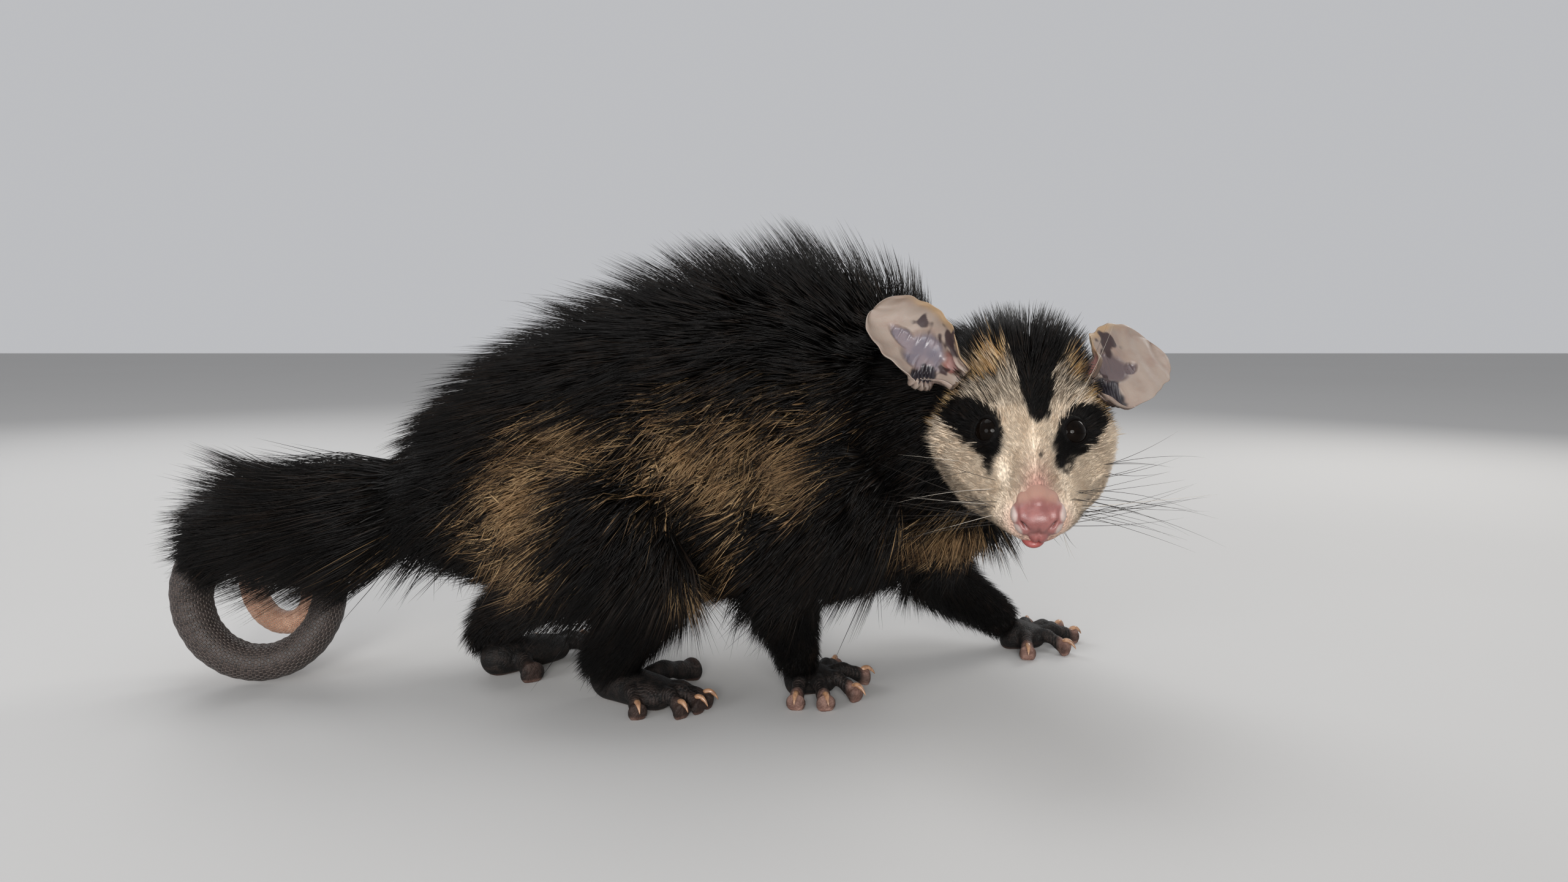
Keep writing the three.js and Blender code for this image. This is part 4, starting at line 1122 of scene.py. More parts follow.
earGraph = Graph(
    "ear_skin", Specular_IOR_Level=0.5, Subsurface_Weight=0.2, Subsurface_Radius=(0.004, 0.002, 0.0012)
)
tone, base, red = earGraph.attribute("tone")
rimTone, pocketShadeTone, brownTone = earGraph.attribute("rim")
veins = earGraph.noise(120.0, 4.0)
fine = earGraph.noise(1400.0, 3.0)
flesh = earGraph.blend(veins.between(0.4, 0.7), (0.228, 0.18, 0.148), (0.202, 0.142, 0.114))
flesh = earGraph.blend(rimTone, flesh, (0.27, 0.18, 0.10))
membraneSkin = earGraph.blend(veins.between(0.35, 0.65), (0.105, 0.092, 0.112), (0.16, 0.128, 0.138))
membraneSkin = earGraph.blend(brownTone, membraneSkin, (0.075, 0.050, 0.048))
flesh = earGraph.blend(tone, flesh, membraneSkin)
flesh = earGraph.blend(red, flesh, (0.19, 0.085, 0.072))
flesh = earGraph.blend(base, flesh, (0.028, 0.014, 0.014))
# the ribbed pocket near black: painted shade of its depth
flesh = earGraph.blend(pocketShadeTone, flesh, (0.012, 0.009, 0.013))
earMaterial = earGraph.feed(
    Base_Color=flesh,
    Roughness=0.42 + veins * 0.2 - tone * 0.22,
    Normal=earGraph.relief(fine * 0.4 + veins * 0.6, 0.35, 0.0006),
)
for name, ear in ears.items():
    grid, spot, front = earGrid(ear)
    mesh, _ = gridMesh(f"ear_{name}", [grid], onHead)
    inside = np.append(front.ravel(), [1, 1]).astype(float)  # the two ends' middles come last
    spot = spot.reshape(-1, 2)
    spot = np.vstack([spot, spot[:2]])
    across, up = spot.T
    sheet = np.stack([across * 20, up * earShape["length"], across * 0], -1)
    grey = membraneShare(ear, spot + 0.02 * waves(sheet, 5, 21)[:, None]) * inside
    blotches = np.maximum.reduce([earSpot(spot, place) for place in ear["blotches"]])
    darks = smoothstep(blotches + 0.3 * waves(sheet, 4, 22), 0.3, 0.55) * inside
    reds = smoothstep(earSpot(spot, ear["pink"]) + 0.15 * waves(sheet, 4, 23), 0.25, 0.7) * inside
    # the ribbed pocket's share, which the shader paints near black as the shade of the deep pocket
    ribs = smoothstep(earSpot(spot, ear["pocket"]) + 0.1 * waves(sheet, 4, 24), 0.3, 0.5) * inside
    outside = (1 - inside) * smoothstep(up, 0.35, 0.1) * 0.8
    rimShare = smoothstep(across, 0.72, 0.95) * smoothstep(up, 0.95, 0.6)
    addColour(mesh, "tone", np.stack([grey, np.maximum(darks, outside), reds * (1 - grey)], -1))
    addColour(mesh, "rim", np.stack([rimShare, ribs, np.full(len(spot), ear["brown"])], -1))
    newPiece(f"ear_flap_{name}", mesh, earMaterial, [f"ear_{name}"])
print("ears done")

# Feet: palms and toes fused by voxels; claws apart. A foot is given by the places of its palm's sections from
# the heel forward, whose heights and sizes its kind gives, and by its toes: where each leaves the palm and
# where its pad lies, and, where they aren't the usual ones, its radius and the height at which it leaves.
footKinds = {
    "hind": {
        "palm": [
            (9, 7, 7, 9.6), (8.5, 9, 8, 9.1), (7.5, 11, 7, 8.1), (6.5, 11.5, 6, 7), (5.5, 8, 4.5, 5),
        ],
        "claw": 6.8, "pale": 0.12, "names": ["", "second", "third", "fourth", "fifth"],
    },
    "fore": {
        "palm": [
            (10, 7, 7, 10.6), (8.5, 9, 7, 9.1), (7, 11, 6.5, 7.6), (6.2, 10.5, 5, 6.6), (5.2, 7, 4, 4.6),
        ],
        "claw": 7.6, "pale": 0.8, "names": ["thumb", "second", "third", "fourth", "fifth"],
    },
}
feet = {
    "hind_foot_right": {
        "kind": "hind", "palm": [(-86, -22), (-76, -27), (-64, -34), (-54, -40), (-47, -43)],
        "toes": [
            (-61, -24, -43, 0, 4.3, 9), (-51, -36, -32.5, -40), (-49, -40, -36, -47.5),
            (-52, -44, -43, -54), (-67, -39, -61.5, -55),
        ],
    },
    "hind_foot_left": {
        "kind": "hind", "palm": [(-141, 0), (-134, 8), (-124, 20), (-115, 31), (-110, 37)],
        "toes": [
            (-127, 12, -116.5, -5, 4.3, 7), (-110, 30, -94, 36), (-109, 34, -96, 46),
            (-112, 38, -103, 53), (-124, 30, -126, 47),
        ],
    },
    "forefoot_right": {
        "kind": "fore", "palm": [(4, -24), (7, -21), (12, -18), (18, -16), (23, -14)],
        "toes": [
            (17, -12, 24, 9), (21, -14, 37.5, -7), (19, -20, 32, -32),
            (14, -24, 18, -44), (8, -24, 5, -43),
        ],
    },
    "forefoot_left": {
        "kind": "fore", "palm": [(112, 49), (116, 50), (122, 52), (128, 53), (133, 54)],
        "toes": [
            (122, 46, 120, 29), (128, 47, 141, 37), (131, 52, 150, 60),
            (129, 58, 145, 72), (124, 60, 130, 80),
        ],
    },
}
footForm = {"voxel": 0.8, "smoothing": 3, "toe": (3.2, 8)}
skinFloor = 0.02  # the least height of bare skin over the floor
padSink = 0.7  # how far a pad is pressed below the floor before it is cut off flat
clawSet = 2.6  # how far behind the toe's end a claw starts
# A claw's spots: share of its length, height over the toe's top, and radius
clawSpots = [
    (0, -1.4, 1.2), (0.25, -0.4, 1.35), (0.5, -0.3, 1.2),
    (0.72, -1.2, 0.85), (0.9, -2.6, 0.45), (1, -3.8, 0.15),
]


def tubeBody(points, radii):
    # a round swept body; its sections stand on X where the tube is steep
    points = np.asarray(points, float)
    keys = [[*p, r, r, r] for p, r in zip(points, radii)]
    steep = abs(unit(points[-1] - points[0])[2]) > 0.9
    return SweptBody(keys, up=(1, 0, 0) if steep else (0, 0, 1))


def toeTubes(bx, by, tx, ty, radius, lift):
    # a toe from the palm to its pad, thin between the joints; the pad is pressed flat on the floor. A spot is
    # a share of the way, a height and a share of the radius.
    base, reach = np.array([bx, by, 0.0]), np.array([tx - bx, ty - by, 0.0])
    pad = radius - padSink
    spots = [
        (-0.15, lift - 1, 1.15), (0.2, lift + 0.2, 1.0), (0.36, lift, 1.1), (0.55, lift * 0.86, 0.88),
        (0.72, lift * 0.7, 1.02), (0.84, radius + 1.0, 1.0), (1.0, pad + 0.7, 1.38), (1.1, pad + 0.4, 1.15),
    ]
    line = [base + reach * share + [0, 0, z] for share, z, _ in spots]
    return tubeBody(line, [radius * r for _, _, r in spots])


def clawTube(bx, by, tx, ty, radius, length):
    # a hooked cone on top of the toe's end
    ahead = unit(np.array([tx - bx, ty - by, 0.0]))
    back = np.array([tx, ty, 0.0]) - ahead * clawSet
    top = radius * 2 + 1.2
    line = [back + ahead * share * length + [0, 0, top + z] for share, z, _ in clawSpots]
    return tubeBody(line, [r for _, _, r in clawSpots])


pawGraph = Graph("paw_skin", Specular_IOR_Level=0.16)
tipTone, wrinkle, _ = pawGraph.attribute("tone")
scaly = pawGraph.cracks(620.0)
mottle = pawGraph.noise(300.0, 3.0)
darkPaw = pawGraph.blend(mottle.between(0.4, 0.75), (0.0045, 0.004, 0.0038), (0.015, 0.011, 0.0095))
# the wrinkle lines across the toes lightened: painted highlights on the wrinkles, which also drive the bump
darkPaw = pawGraph.blend(wrinkle * 0.5, darkPaw, (0.05, 0.036, 0.032))
tipPaw = pawGraph.blend(mottle.between(0.35, 0.7), (0.13, 0.07, 0.055), (0.25, 0.15, 0.12))
pawMaterial = pawGraph.feed(
    Base_Color=pawGraph.blend(tipTone, darkPaw, tipPaw),
    Roughness=0.5 + mottle * 0.25,
    Normal=pawGraph.relief(scaly.between(0.0, 0.2) * 0.5 + wrinkle, 0.5, 0.0006),
)
clawGraph = Graph("claw_horn", Specular_IOR_Level=0.5, Coat_Weight=0.2, Coat_Roughness=0.2)
streak = clawGraph.noise(500.0, 3.0)
clawMaterial = clawGraph.feed(
    Base_Color=clawGraph.blend(streak.between(0.3, 0.75), (0.34, 0.19, 0.105), (0.17, 0.085, 0.045)),
    Roughness=0.28 + streak * 0.2,
    Normal=clawGraph.relief(streak, 0.2, 0.0003),
)
clawGrids, clawNodes = [], []
for name, foot in feet.items():
    kind = footKinds[foot["kind"]]
    toes = [(*toe, *footForm["toe"][len(toe) - 4 :]) for toe in foot["toes"]]
    palm = [(*spot, *form) for spot, form in zip(foot["palm"], kind["palm"])]
    grids = [SweptBody(palm, capStart=0.25, capEnd=0.2).grid(30, 36)]
    grids += [toeTubes(*toe).grid(34, 20) for toe in toes]
    mesh = fused(name, grids, footForm["voxel"], footForm["smoothing"])
    points = fromRow(mesh)
    points[:, 2] = np.maximum(points[:, 2], skinFloor)
    putPoints(mesh, points)
    shadeSmooth(mesh)
    tips = np.array([toe[2:4] for toe in toes])
    reach = np.min(np.linalg.norm(points[:, None, :2] - tips[None], axis=-1), axis=1)
    tone = np.clip(smoothstep(reach, 5.5, 2) * kind["pale"] + smoothstep(points[:, 2], 2.0, 0.5) * 0.4, 0, 1)
    # rings across the toes, lightened in the shader as painted highlights on the wrinkles
    lines = np.maximum(np.sin(reach * 2 * np.pi / 1.5), 0) ** 2
    lines = lines * smoothstep(reach, 3.5, 5) * smoothstep(reach, 13, 9) * smoothstep(points[:, 2], 3, 6)
    addColour(mesh, "tone", np.stack([tone, lines, tone], -1))
    newPiece(f"paw_{name}", mesh, pawMaterial, [name])
    for toe, digit in zip(toes, kind["names"]):
        if digit:
            clawGrids.append(clawTube(*toe[:5], kind["claw"]).grid(18, 14))
            clawNodes.append(f"claw_{name}_{digit}")
clawMesh, _ = gridMesh("claws", clawGrids)
newPiece("claws", clawMesh, clawMaterial, clawNodes)
print("feet and claws done")

# Tail: a tube along the curl, a little fuller than the solid's and rounded off at its tip, with its own map
# round and along it for rings of scales
tailDetail = {"rows": 520, "columns": 56, "rings": 230.0, "round": 22.0, "fuller": 1.06, "tip": 0.12}
q = np.linspace(tailCurl["start"], tailCurl["end"], tailDetail["rows"])
line, thick = curlLine(q)
along = unit(np.gradient(line, axis=0))
side = unit(np.cross([0, 1, 0], along))
above = np.cross(along, side)
taper = np.sqrt(np.clip(1 - (1 - np.clip((tailCurl["end"] - q) / tailDetail["tip"], 0, 1)) ** 2, 0.0004, 1))
turn = turns(tailDetail["columns"])[None, :, None]
wobble = 1 + 0.012 * np.sin(q * 61)[:, None, None] + 0.01 * np.sin(q * 23)[:, None, None]
radius = (thick * taper * tailDetail["fuller"])[:, None, None] * wobble
tailGrid = line[:, None] + radius * (np.cos(turn) * side[:, None] + np.sin(turn) * above[:, None])
tailGrid[..., 2] = np.maximum(tailGrid[..., 2], skinFloor)
tailMesh, _ = gridMesh("tail", [tailGrid])
rowOf, columnOf = np.divmod(loopCorners(tailMesh), tailDetail["columns"])
mapV = np.clip(rowOf / (tailDetail["rows"] - 1), 0, 1)
mapU = columnOf / tailDetail["columns"]
wraps = mapU[: (tailDetail["rows"] - 1) * tailDetail["columns"] * 4].reshape(-1, 4)
wraps[(wraps.max(1) - wraps.min(1) > 0.5)[:, None] & (wraps < 0.5)] += 1  # the last column's quads end at 1
addMap(tailMesh, "tail_map", np.stack([mapU, mapV], -1))
tailGraph = Graph("tail_skin", Specular_IOR_Level=0.4)
tailPlace = tailGraph.node("ShaderNodeUVMap", {"uv_map": "tail_map"})
u, v, _ = tailGraph.parts(tailPlace, "ShaderNodeSeparateXYZ")
ring = v * tailDetail["rings"]
# each ring's scales are set half a scale on from the last ring's
scaleU = (u * tailDetail["round"] + ring.math("FLOOR") * 0.5).math("FRACT")
fromMiddleU = (scaleU - 0.5).math("ABSOLUTE") * 2
fromMiddleV = (ring.math("FRACT") - 0.5).math("ABSOLUTE") * 2
edge = fromMiddleU.math("MAXIMUM", fromMiddleV).between(0.62, 0.98)
mottle = tailGraph.noise(60.0, 4.0)
speck = tailGraph.noise(420.0, 3.0)
pale = (v + (mottle - 0.5) * 0.1).between(0.50, 0.60)
darkTail = tailGraph.blend(speck.between(0.35, 0.75), (0.016, 0.012, 0.011), (0.045, 0.033, 0.030))
darkTail = tailGraph.blend(edge * 0.7, darkTail, (0.13, 0.10, 0.085))
paleTail = tailGraph.blend(speck.between(0.35, 0.75), (0.36, 0.17, 0.10), (0.52, 0.30, 0.20))
paleTail = tailGraph.blend(edge * 0.6, paleTail, (0.72, 0.55, 0.45))
tailMaterial = tailGraph.feed(
    Base_Color=tailGraph.blend(pale, darkTail, paleTail),
    Roughness=0.42 + speck * 0.25,
    Normal=tailGraph.relief(1 - edge, 0.9, 0.0008),
)
tailNodes = ["tail_dark_1", "tail_dark_2", "tail_dark_3", "tail_pale", "tail_tip"]
newPiece("tail_skin", tailMesh, tailMaterial, tailNodes)
print("tail done")


# Fur: closed tapered strands with a triangle for a section

def strandPaths(roots, normals, lies, lengths, rise, bend, droop, stops):
    # each path leaves the skin at the rise angle and turns evenly to the bend angle; droop pulls it down
    # with the square of the way along it
    points = [roots]
    directions = []
    for low, high in zip(stops[:-1], stops[1:]):
        middle = (low + high) / 2
        angle = rise + (bend - rise) * middle
        step = np.cos(angle)[:, None] * lies + np.sin(angle)[:, None] * normals
        points.append(points[-1] + step * (lengths * (high - low))[:, None])
        directions.append(step)
    directions.append(directions[-1])
    path = np.stack(points, 1)
    s = np.array(stops)
    path[:, :, 2] -= (droop * lengths)[:, None] * s**2
    return path, np.stack(directions, 1)


pieceLimit = 198000  # the most triangles in one piece of the coat
bakePatch = 0.003  # the side of each strand's patch on the bake map


def strandFaces(rings):
    # the triangles of one strand, and their corners on its square of the map: bands between the rings, a
    # point at the tip and a lid at the root
    faces, local = [], []
    for k in range(rings - 1):
        for j in range(3):
            a, b = k * 3 + j, k * 3 + (j + 1) % 3
            u0, u1, v0, v1 = j / 3, (j + 1) / 3, k / rings, (k + 1) / rings
            faces += [(a, b, b + 3), (a, b + 3, a + 3)]
            local += [(u0, v0), (u1, v0), (u1, v1), (u0, v0), (u1, v1), (u0, v1)]
    base, low = (rings - 1) * 3, 1 - 1 / rings
    for j in range(3):
        faces.append((base + j, base + (j + 1) % 3, rings * 3))
        local += [(j / 3, low), ((j + 1) / 3, low), ((j + 0.5) / 3, 1)]
    faces.append((0, 2, 1))
    local += [(0, 0), (0.1, 0), (0.05, 0.05)]
    return np.array(faces), np.array(local)


def strandMesh(name, strands, profile, flat):
    # rings of three corners round each path point but the last, which is the tip; then the marks, the
    # share along, the two random shares, and a bake map with a small patch for each strand at its root
    path, directions = strands["path"], strands["directions"]
    count, stops = path.shape[:2]
    rings = stops - 1
    each = rings * 3 + 1
    side = unit(np.cross(directions, strands["normals"][:, None, :]))
    outward = np.cross(side, directions)
    turn = np.radians([90, 210, 330])
    half = (strands["widths"][:, None] * np.asarray(profile)[None, :rings] / 2)[:, :, None, None]
    ring = (
        path[:, :rings, None]
        + side[:, :rings, None] * (half * np.cos(turn)[None, None, :, None])
        + outward[:, :rings, None] * (half * flat * np.sin(turn)[None, None, :, None])
    )
    corners = np.concatenate([ring.reshape(count, rings * 3, 3), path[:, -1:]], 1)
    faces, local = strandFaces(rings)
    faces = (faces[None] + (np.arange(count) * each)[:, None, None]).reshape(-1, 3)
    mesh = newMesh(name, corners.reshape(-1, 3), [faces])
    addColour(mesh, "marks", np.repeat(strands["marks"], each, axis=0))
    along = np.tile(np.append(np.repeat(np.arange(rings) / rings, 3), 1.0), count)
    chance, clump = (np.repeat(strands[key], each) for key in ("chance", "clump"))
    addColour(mesh, "strand", np.stack([along, chance, clump], -1))
    addMap(mesh, "OFBake", (strands["cells"][:, None, :] + local[None] * bakePatch).reshape(-1, 2))
    return mesh


def gather(paths, clumps, amount, s):
    # draws each path towards the path of the nearest clump's leader, more towards the tip
    roots = paths[:, 0]
    leaders = rng.choice(len(roots), clumps, replace=False)
    nearest = np.empty(len(roots), int)
    step = 4000  # roots are compared a few thousand at a time, to save memory
    for start in range(0, len(roots), step):
        part = roots[start : start + step]
        nearest[start : start + step] = ((part[:, None] - roots[leaders][None]) ** 2).sum(-1).argmin(1)
    leader = leaders[nearest]
    pull = (amount * s**1.4)[None, :, None]
    target = paths[leader] + 0.25 * (roots - roots[leader])[:, None]
    return paths + (target - paths) * pull, nearest


def makeCoat(name, batches, marker, material):
    # one coat from its batches of strands: paths, gathered into clumps, marked at the place that they reach,
    # and cut from back to front into pieces
    coat = coats[name]
    strands = {key: np.concatenate([batch[key] for batch in batches]) for key in batches[0]}
    order = np.argsort(strands["roots"][:, 0])
    strands = {key: value[order] for key, value in strands.items()}
    bends = [strands[key] for key in ("roots", "normals", "lies", "lengths", "rise", "bend")]
    path, strands["directions"] = strandPaths(*bends, strands["droop"] * coat["droop"], coat["stops"])
    clumps = max(2, int(len(path) / coat["clump"]))
    path, which = gather(path, clumps, coat["gather"], np.array(coat["stops"]))
    path[..., 2] = np.maximum(path[..., 2], floorGap)
    strands["path"] = path
    strands["marks"] = marker(path[:, 0] + (path[:, -1] - path[:, 0]) * coat["reach"])
    strands["clump"] = rng.random(clumps)[which]
    strands["chance"] = rng.random(len(path))
    each = (len(coat["stops"]) - 2) * 6 + 4
    pieces = int(np.ceil(len(path) / int(pieceLimit / each)))
    for k, part in enumerate(np.array_split(np.arange(len(path)), pieces)):
        share = {key: value[part] for key, value in strands.items()}
        mesh = strandMesh(f"{name}_{k + 1}", share, coat["profile"], coat["flat"])
        newPiece(f"{name}_{k + 1}", mesh, material)
    print(name, len(path), "strands,", len(path) * each, "triangles,", pieces, "pieces")
    return len(path) * each


# The bake map's cells: each region's own unwrap, angle across and length up
regionCells = {
    "trunk": (0.0, 0.0, 0.62, 0.5), "neck": (0.63, 0.0, 0.36, 0.24), "tail_root": (0.63, 0.26, 0.36, 0.22),
    "head": (0.0, 0.52, 0.62, 0.33), "chest": (0.0, 0.87, 0.36, 0.12),
}
for k, name in enumerate(legKeys):
    regionCells[name] = (0.63 + 0.18 * (k % 2), 0.5 + 0.12 * (k // 2), 0.17, 0.11)


def bakeCells(name, t, angle):
    # each root's place in its region's cell of the map
    u, v, wide, tall = regionCells[name]
    return np.stack([u + wide * (angle / (2 * np.pi)) % 1, v + tall * t], -1)


skinFaces = [tuple(face.vertices) for face in skinMesh.polygons]
skinTree = BVHTree.FromPolygons([tuple(point) for point in skinPoints], skinFaces)
rootReach = 3.0  # how far from the fused skin a hair's root may be scattered
rootDepth = 0.6  # how deep the body's hairs start in the skin
floorGap = 0.6  # how far above the floor hairs stay
tailReach = -281  # how far back the tail's hairs may reach
rumpFur = {"x": [-160, -138, -110, -60, -20, 12], "share": [0.42, 0.48, 0.62, 0.72, 0.88, 1.0]}
tailFur = {"t": [0.5, 0.72, 0.86, 1], "share": [1, 0.72, 0.42, 0.16]}
bellyFur = 0.5  # how much shorter the fur is under the belly
furTop = 217  # the highest that hairs on the back may reach
trunkLean = {"x": [-180, -100, -34, 18, 60, 90], "degrees": [20, 32, 50, 66, 60, 50], "side": 24}
hairHeight = {"guard": 1.02, "under": 0.62, "fine": 0.55}  # shares of the coat's depth
hairLength = {"least": 4, "most": 62}


def onSkin(roots, reach):
    # keeps the roots that lie on the fused skin, and moves them onto it
    kept = np.zeros(len(roots), bool)
    moved = roots * 1.0
    normals = np.zeros_like(roots)
    for k, root in enumerate(roots):
        spot, normal, _, away = skinTree.find_nearest(root)
        if spot is not None and away < reach:
            kept[k] = True
            moved[k] = spot
            normals[k] = normal
    return kept, moved, normals


def lieOn(direction, normals):
    # the direction without its part along the normal
    return unit(direction - normals * dot(direction, normals))


def region(name, count, kind):
    # strands on one body: scattered roots, kept by kind and tan share, the coat's lie and stand by region
    # with soft and random changes, and lengths that reach the coat's depth at that stand
    body = bodies[name]
    t, angle = body.scatter(count)
    roots = body.at(t, angle)
    kept, roots, normals = onSkin(roots, rootReach)
    tawny = np.clip(bodyMarks(roots)[:, 0] * 1.6, 0, 1) * (1 - np.clip(np.sin(angle), 0, 1))
    draw = rng.random(len(roots))
    if kind == "guard":
        kept &= draw > 0.62 * tawny
    elif kind == "fine":
        kept &= draw < tawny
    t, angle, roots, normals, tawny = (each[kept] for each in (t, angle, roots, normals, tawny))
    depth = body.coat(t, angle)
    top = np.clip(np.sin(angle), 0, 1)
    along = body.frame(t)[0]
    if name == "trunk":
        lean = np.interp(roots[:, 0], trunkLean["x"], trunkLean["degrees"])
        stand = np.radians(trunkLean["side"] + (lean - trunkLean["side"]) * top**1.3)
        depth = depth * (1 + (np.interp(roots[:, 0], rumpFur["x"], rumpFur["share"]) - 1) * top**0.5)
        depth = depth * (1 - bellyFur * smoothstep(-np.sin(angle), 0.3, 0.8))
        direction = np.array([-1.0, 0.0, -0.55]) + [0, 0.0, 0.35] * waves(roots, 42, 3)[:, None]
    elif name == "chest":
        stand = np.radians(np.full(len(roots), 30.0))
        depth = depth * (1 - 0.1 * smoothstep(-np.sin(angle), 0.2, 0.7))
        direction = np.broadcast_to(np.array([-0.35, 0.0, -1.0]), roots.shape)
    elif name == "neck":
        stand = np.radians(27 + 6 * top)
        depth = depth * (1 - 0.3 * top)
        direction = -along + np.array([-0.3, 0.0, -0.5])
    elif name == "tail_root":
        stand = np.radians(22.0 + 10 * top)
        depth = depth * (1 + 0.38 * top) * np.interp(t, tailFur["t"], tailFur["share"])
        direction = along + np.array([-0.3, 0, 0.05])
    else:
        stand = np.radians(np.full(len(roots), 24.0))
        upper = name.startswith(("thigh", "upper"))
        direction = np.array([-0.85, 0.0, -0.75]) if upper else -along + np.array([-0.45, 0, 0])
        direction = np.broadcast_to(direction, roots.shape)
    scatter = rng.normal(size=roots.shape) * (0.16 + 0.4 * tawny)[:, None]  # tan fur lies less evenly
    lies = lieOn(unit(direction) + scatter, normals)
    stand = stand * (1 + 0.14 * waves(roots, 30, 4) + 0.12 * rng.normal(size=len(roots)))
    vary = 1 + 0.16 * rng.normal(size=len(roots))
    lengths = depth * hairHeight[kind] / np.sin(np.clip(stand, 0.2, 1.4))
    lengths = np.clip(lengths, hairLength["least"], hairLength["most"]) * np.clip(vary, 0.5, 1.35)
    lengths = lengths * (1 - 0.52 * tawny)
    stand = stand * (1 + 0.25 * tawny)
    if name == "tail_root":
        room = np.maximum((roots[:, 0] - tailReach) / 0.9, 5)
        lengths = np.minimum(lengths, room * (0.45 + 0.55 * rng.random(len(roots))))
    if name == "trunk":
        room = (furTop - roots[:, 2]) / np.sin(np.clip(stand, 0.3, 1.4))
        lengths = np.minimum(lengths, room * (0.82 + 0.18 * rng.random(len(roots))))
    return {
        "roots": roots - normals * rootDepth, "normals": normals, "lies": lies, "lengths": lengths,
        "rise": stand * 1.3, "bend": stand * 0.72, "droop": 0.03 + 0.05 * (1 - top),
        "widths": 1 - 0.4 * tawny, "cells": bakeCells(name, t, angle),
    }


def guardMarks(points):
    # most of the long hairs stay dark where the underfur is tan
    return bodyMarks(points) * [0.72, 1, 1]


# The coats: strands to a clump, how far they are gathered, the stops along a strand and its widths there, how
# flat it is, its droop, and the share of the way to the tip at which its colour is read. Each part gives a
# kind of hair, its width in millimetres and its number of strands on each body.
coats = {
    "coat_guard": {
        "clump": 16, "gather": 0.5, "stops": [0, 0.5, 1], "profile": [1, 0.8], "flat": 0.7, "droop": 1.0,
        "slot": "black_coat", "reach": 0.5,
        "parts": [("guard", 0.55, {
            "trunk": 41000, "chest": 4600, "neck": 10000, "tail_root": 9000, "thigh_right": 5600,
            "thigh_left": 5600, "upper_arm_right": 4300, "upper_arm_left": 4300,
        })],
    },
    "coat_under": {
        "clump": 10, "gather": 0.35, "stops": [0, 0.45, 1], "profile": [1, 0.9], "flat": 0.4, "droop": 0.6,
        "slot": "black_coat", "reach": 0.35,
        "parts": [
            ("under", 1.7, {
                "trunk": 12000, "chest": 1200, "neck": 3400, "tail_root": 3000, "thigh_right": 1900,
                "thigh_left": 1900, "upper_arm_right": 1500, "upper_arm_left": 1500,
            }),
            ("fine", 1.1, {
                "trunk": 24000, "chest": 2400, "neck": 1500, "thigh_right": 3000, "thigh_left": 1500,
            }),
        ],
    },
    "coat_legs": {
        "clump": 12, "gather": 0.3, "stops": [0, 1], "profile": [1], "flat": 0.6, "droop": 0.4,
        "slot": "leg_fur", "reach": 0.5,
        "parts": [("guard", 0.5, {
            "shank_right": 7000, "shank_left": 7000, "forearm_right": 7000, "forearm_left": 7000,
        })],
    },
    "coat_face": {
        "clump": 8, "gather": 0.25, "stops": [0, 1], "profile": [1], "flat": 0.6, "droop": 0.5,
        "slot": "face_fur", "reach": 0.3, "strands": 104000, "until": 1.0, "kind": "short",
    },
    "coat_crown": {
        "clump": 10, "gather": 0.4, "stops": [0, 0.5, 1], "profile": [1, 0.8], "flat": 0.6, "droop": 0.5,
        "slot": "face_fur", "reach": 0.5, "strands": 24000, "until": 0.74, "kind": "long",
    },
}
quickShare = 1.0
total = 0
for name in ("coat_guard", "coat_under", "coat_legs"):
    batches = []
    for kind, width, counts in coats[name]["parts"]:
        for body, count in counts.items():
            batch = region(body, int(count * quickShare), kind)
            batch["widths"] *= width
            batches.append(batch)
    marker = guardMarks if name == "coat_guard" else bodyMarks
    total += makeCoat(name, batches, marker, bodyFurMaterial)


# Head fur: long on the crown and cheeks, short and fine towards the nose, none on the nose and eyes

headFur = {"nose": (43.5, 0.5, -12), "clear": 10.5, "lids": 0.9, "least": 2.0, "most": 24}
longestCrown = {"x": [-42, -24, -6, 8, 18], "length": [24, 19, 8, 5, 3.5]}


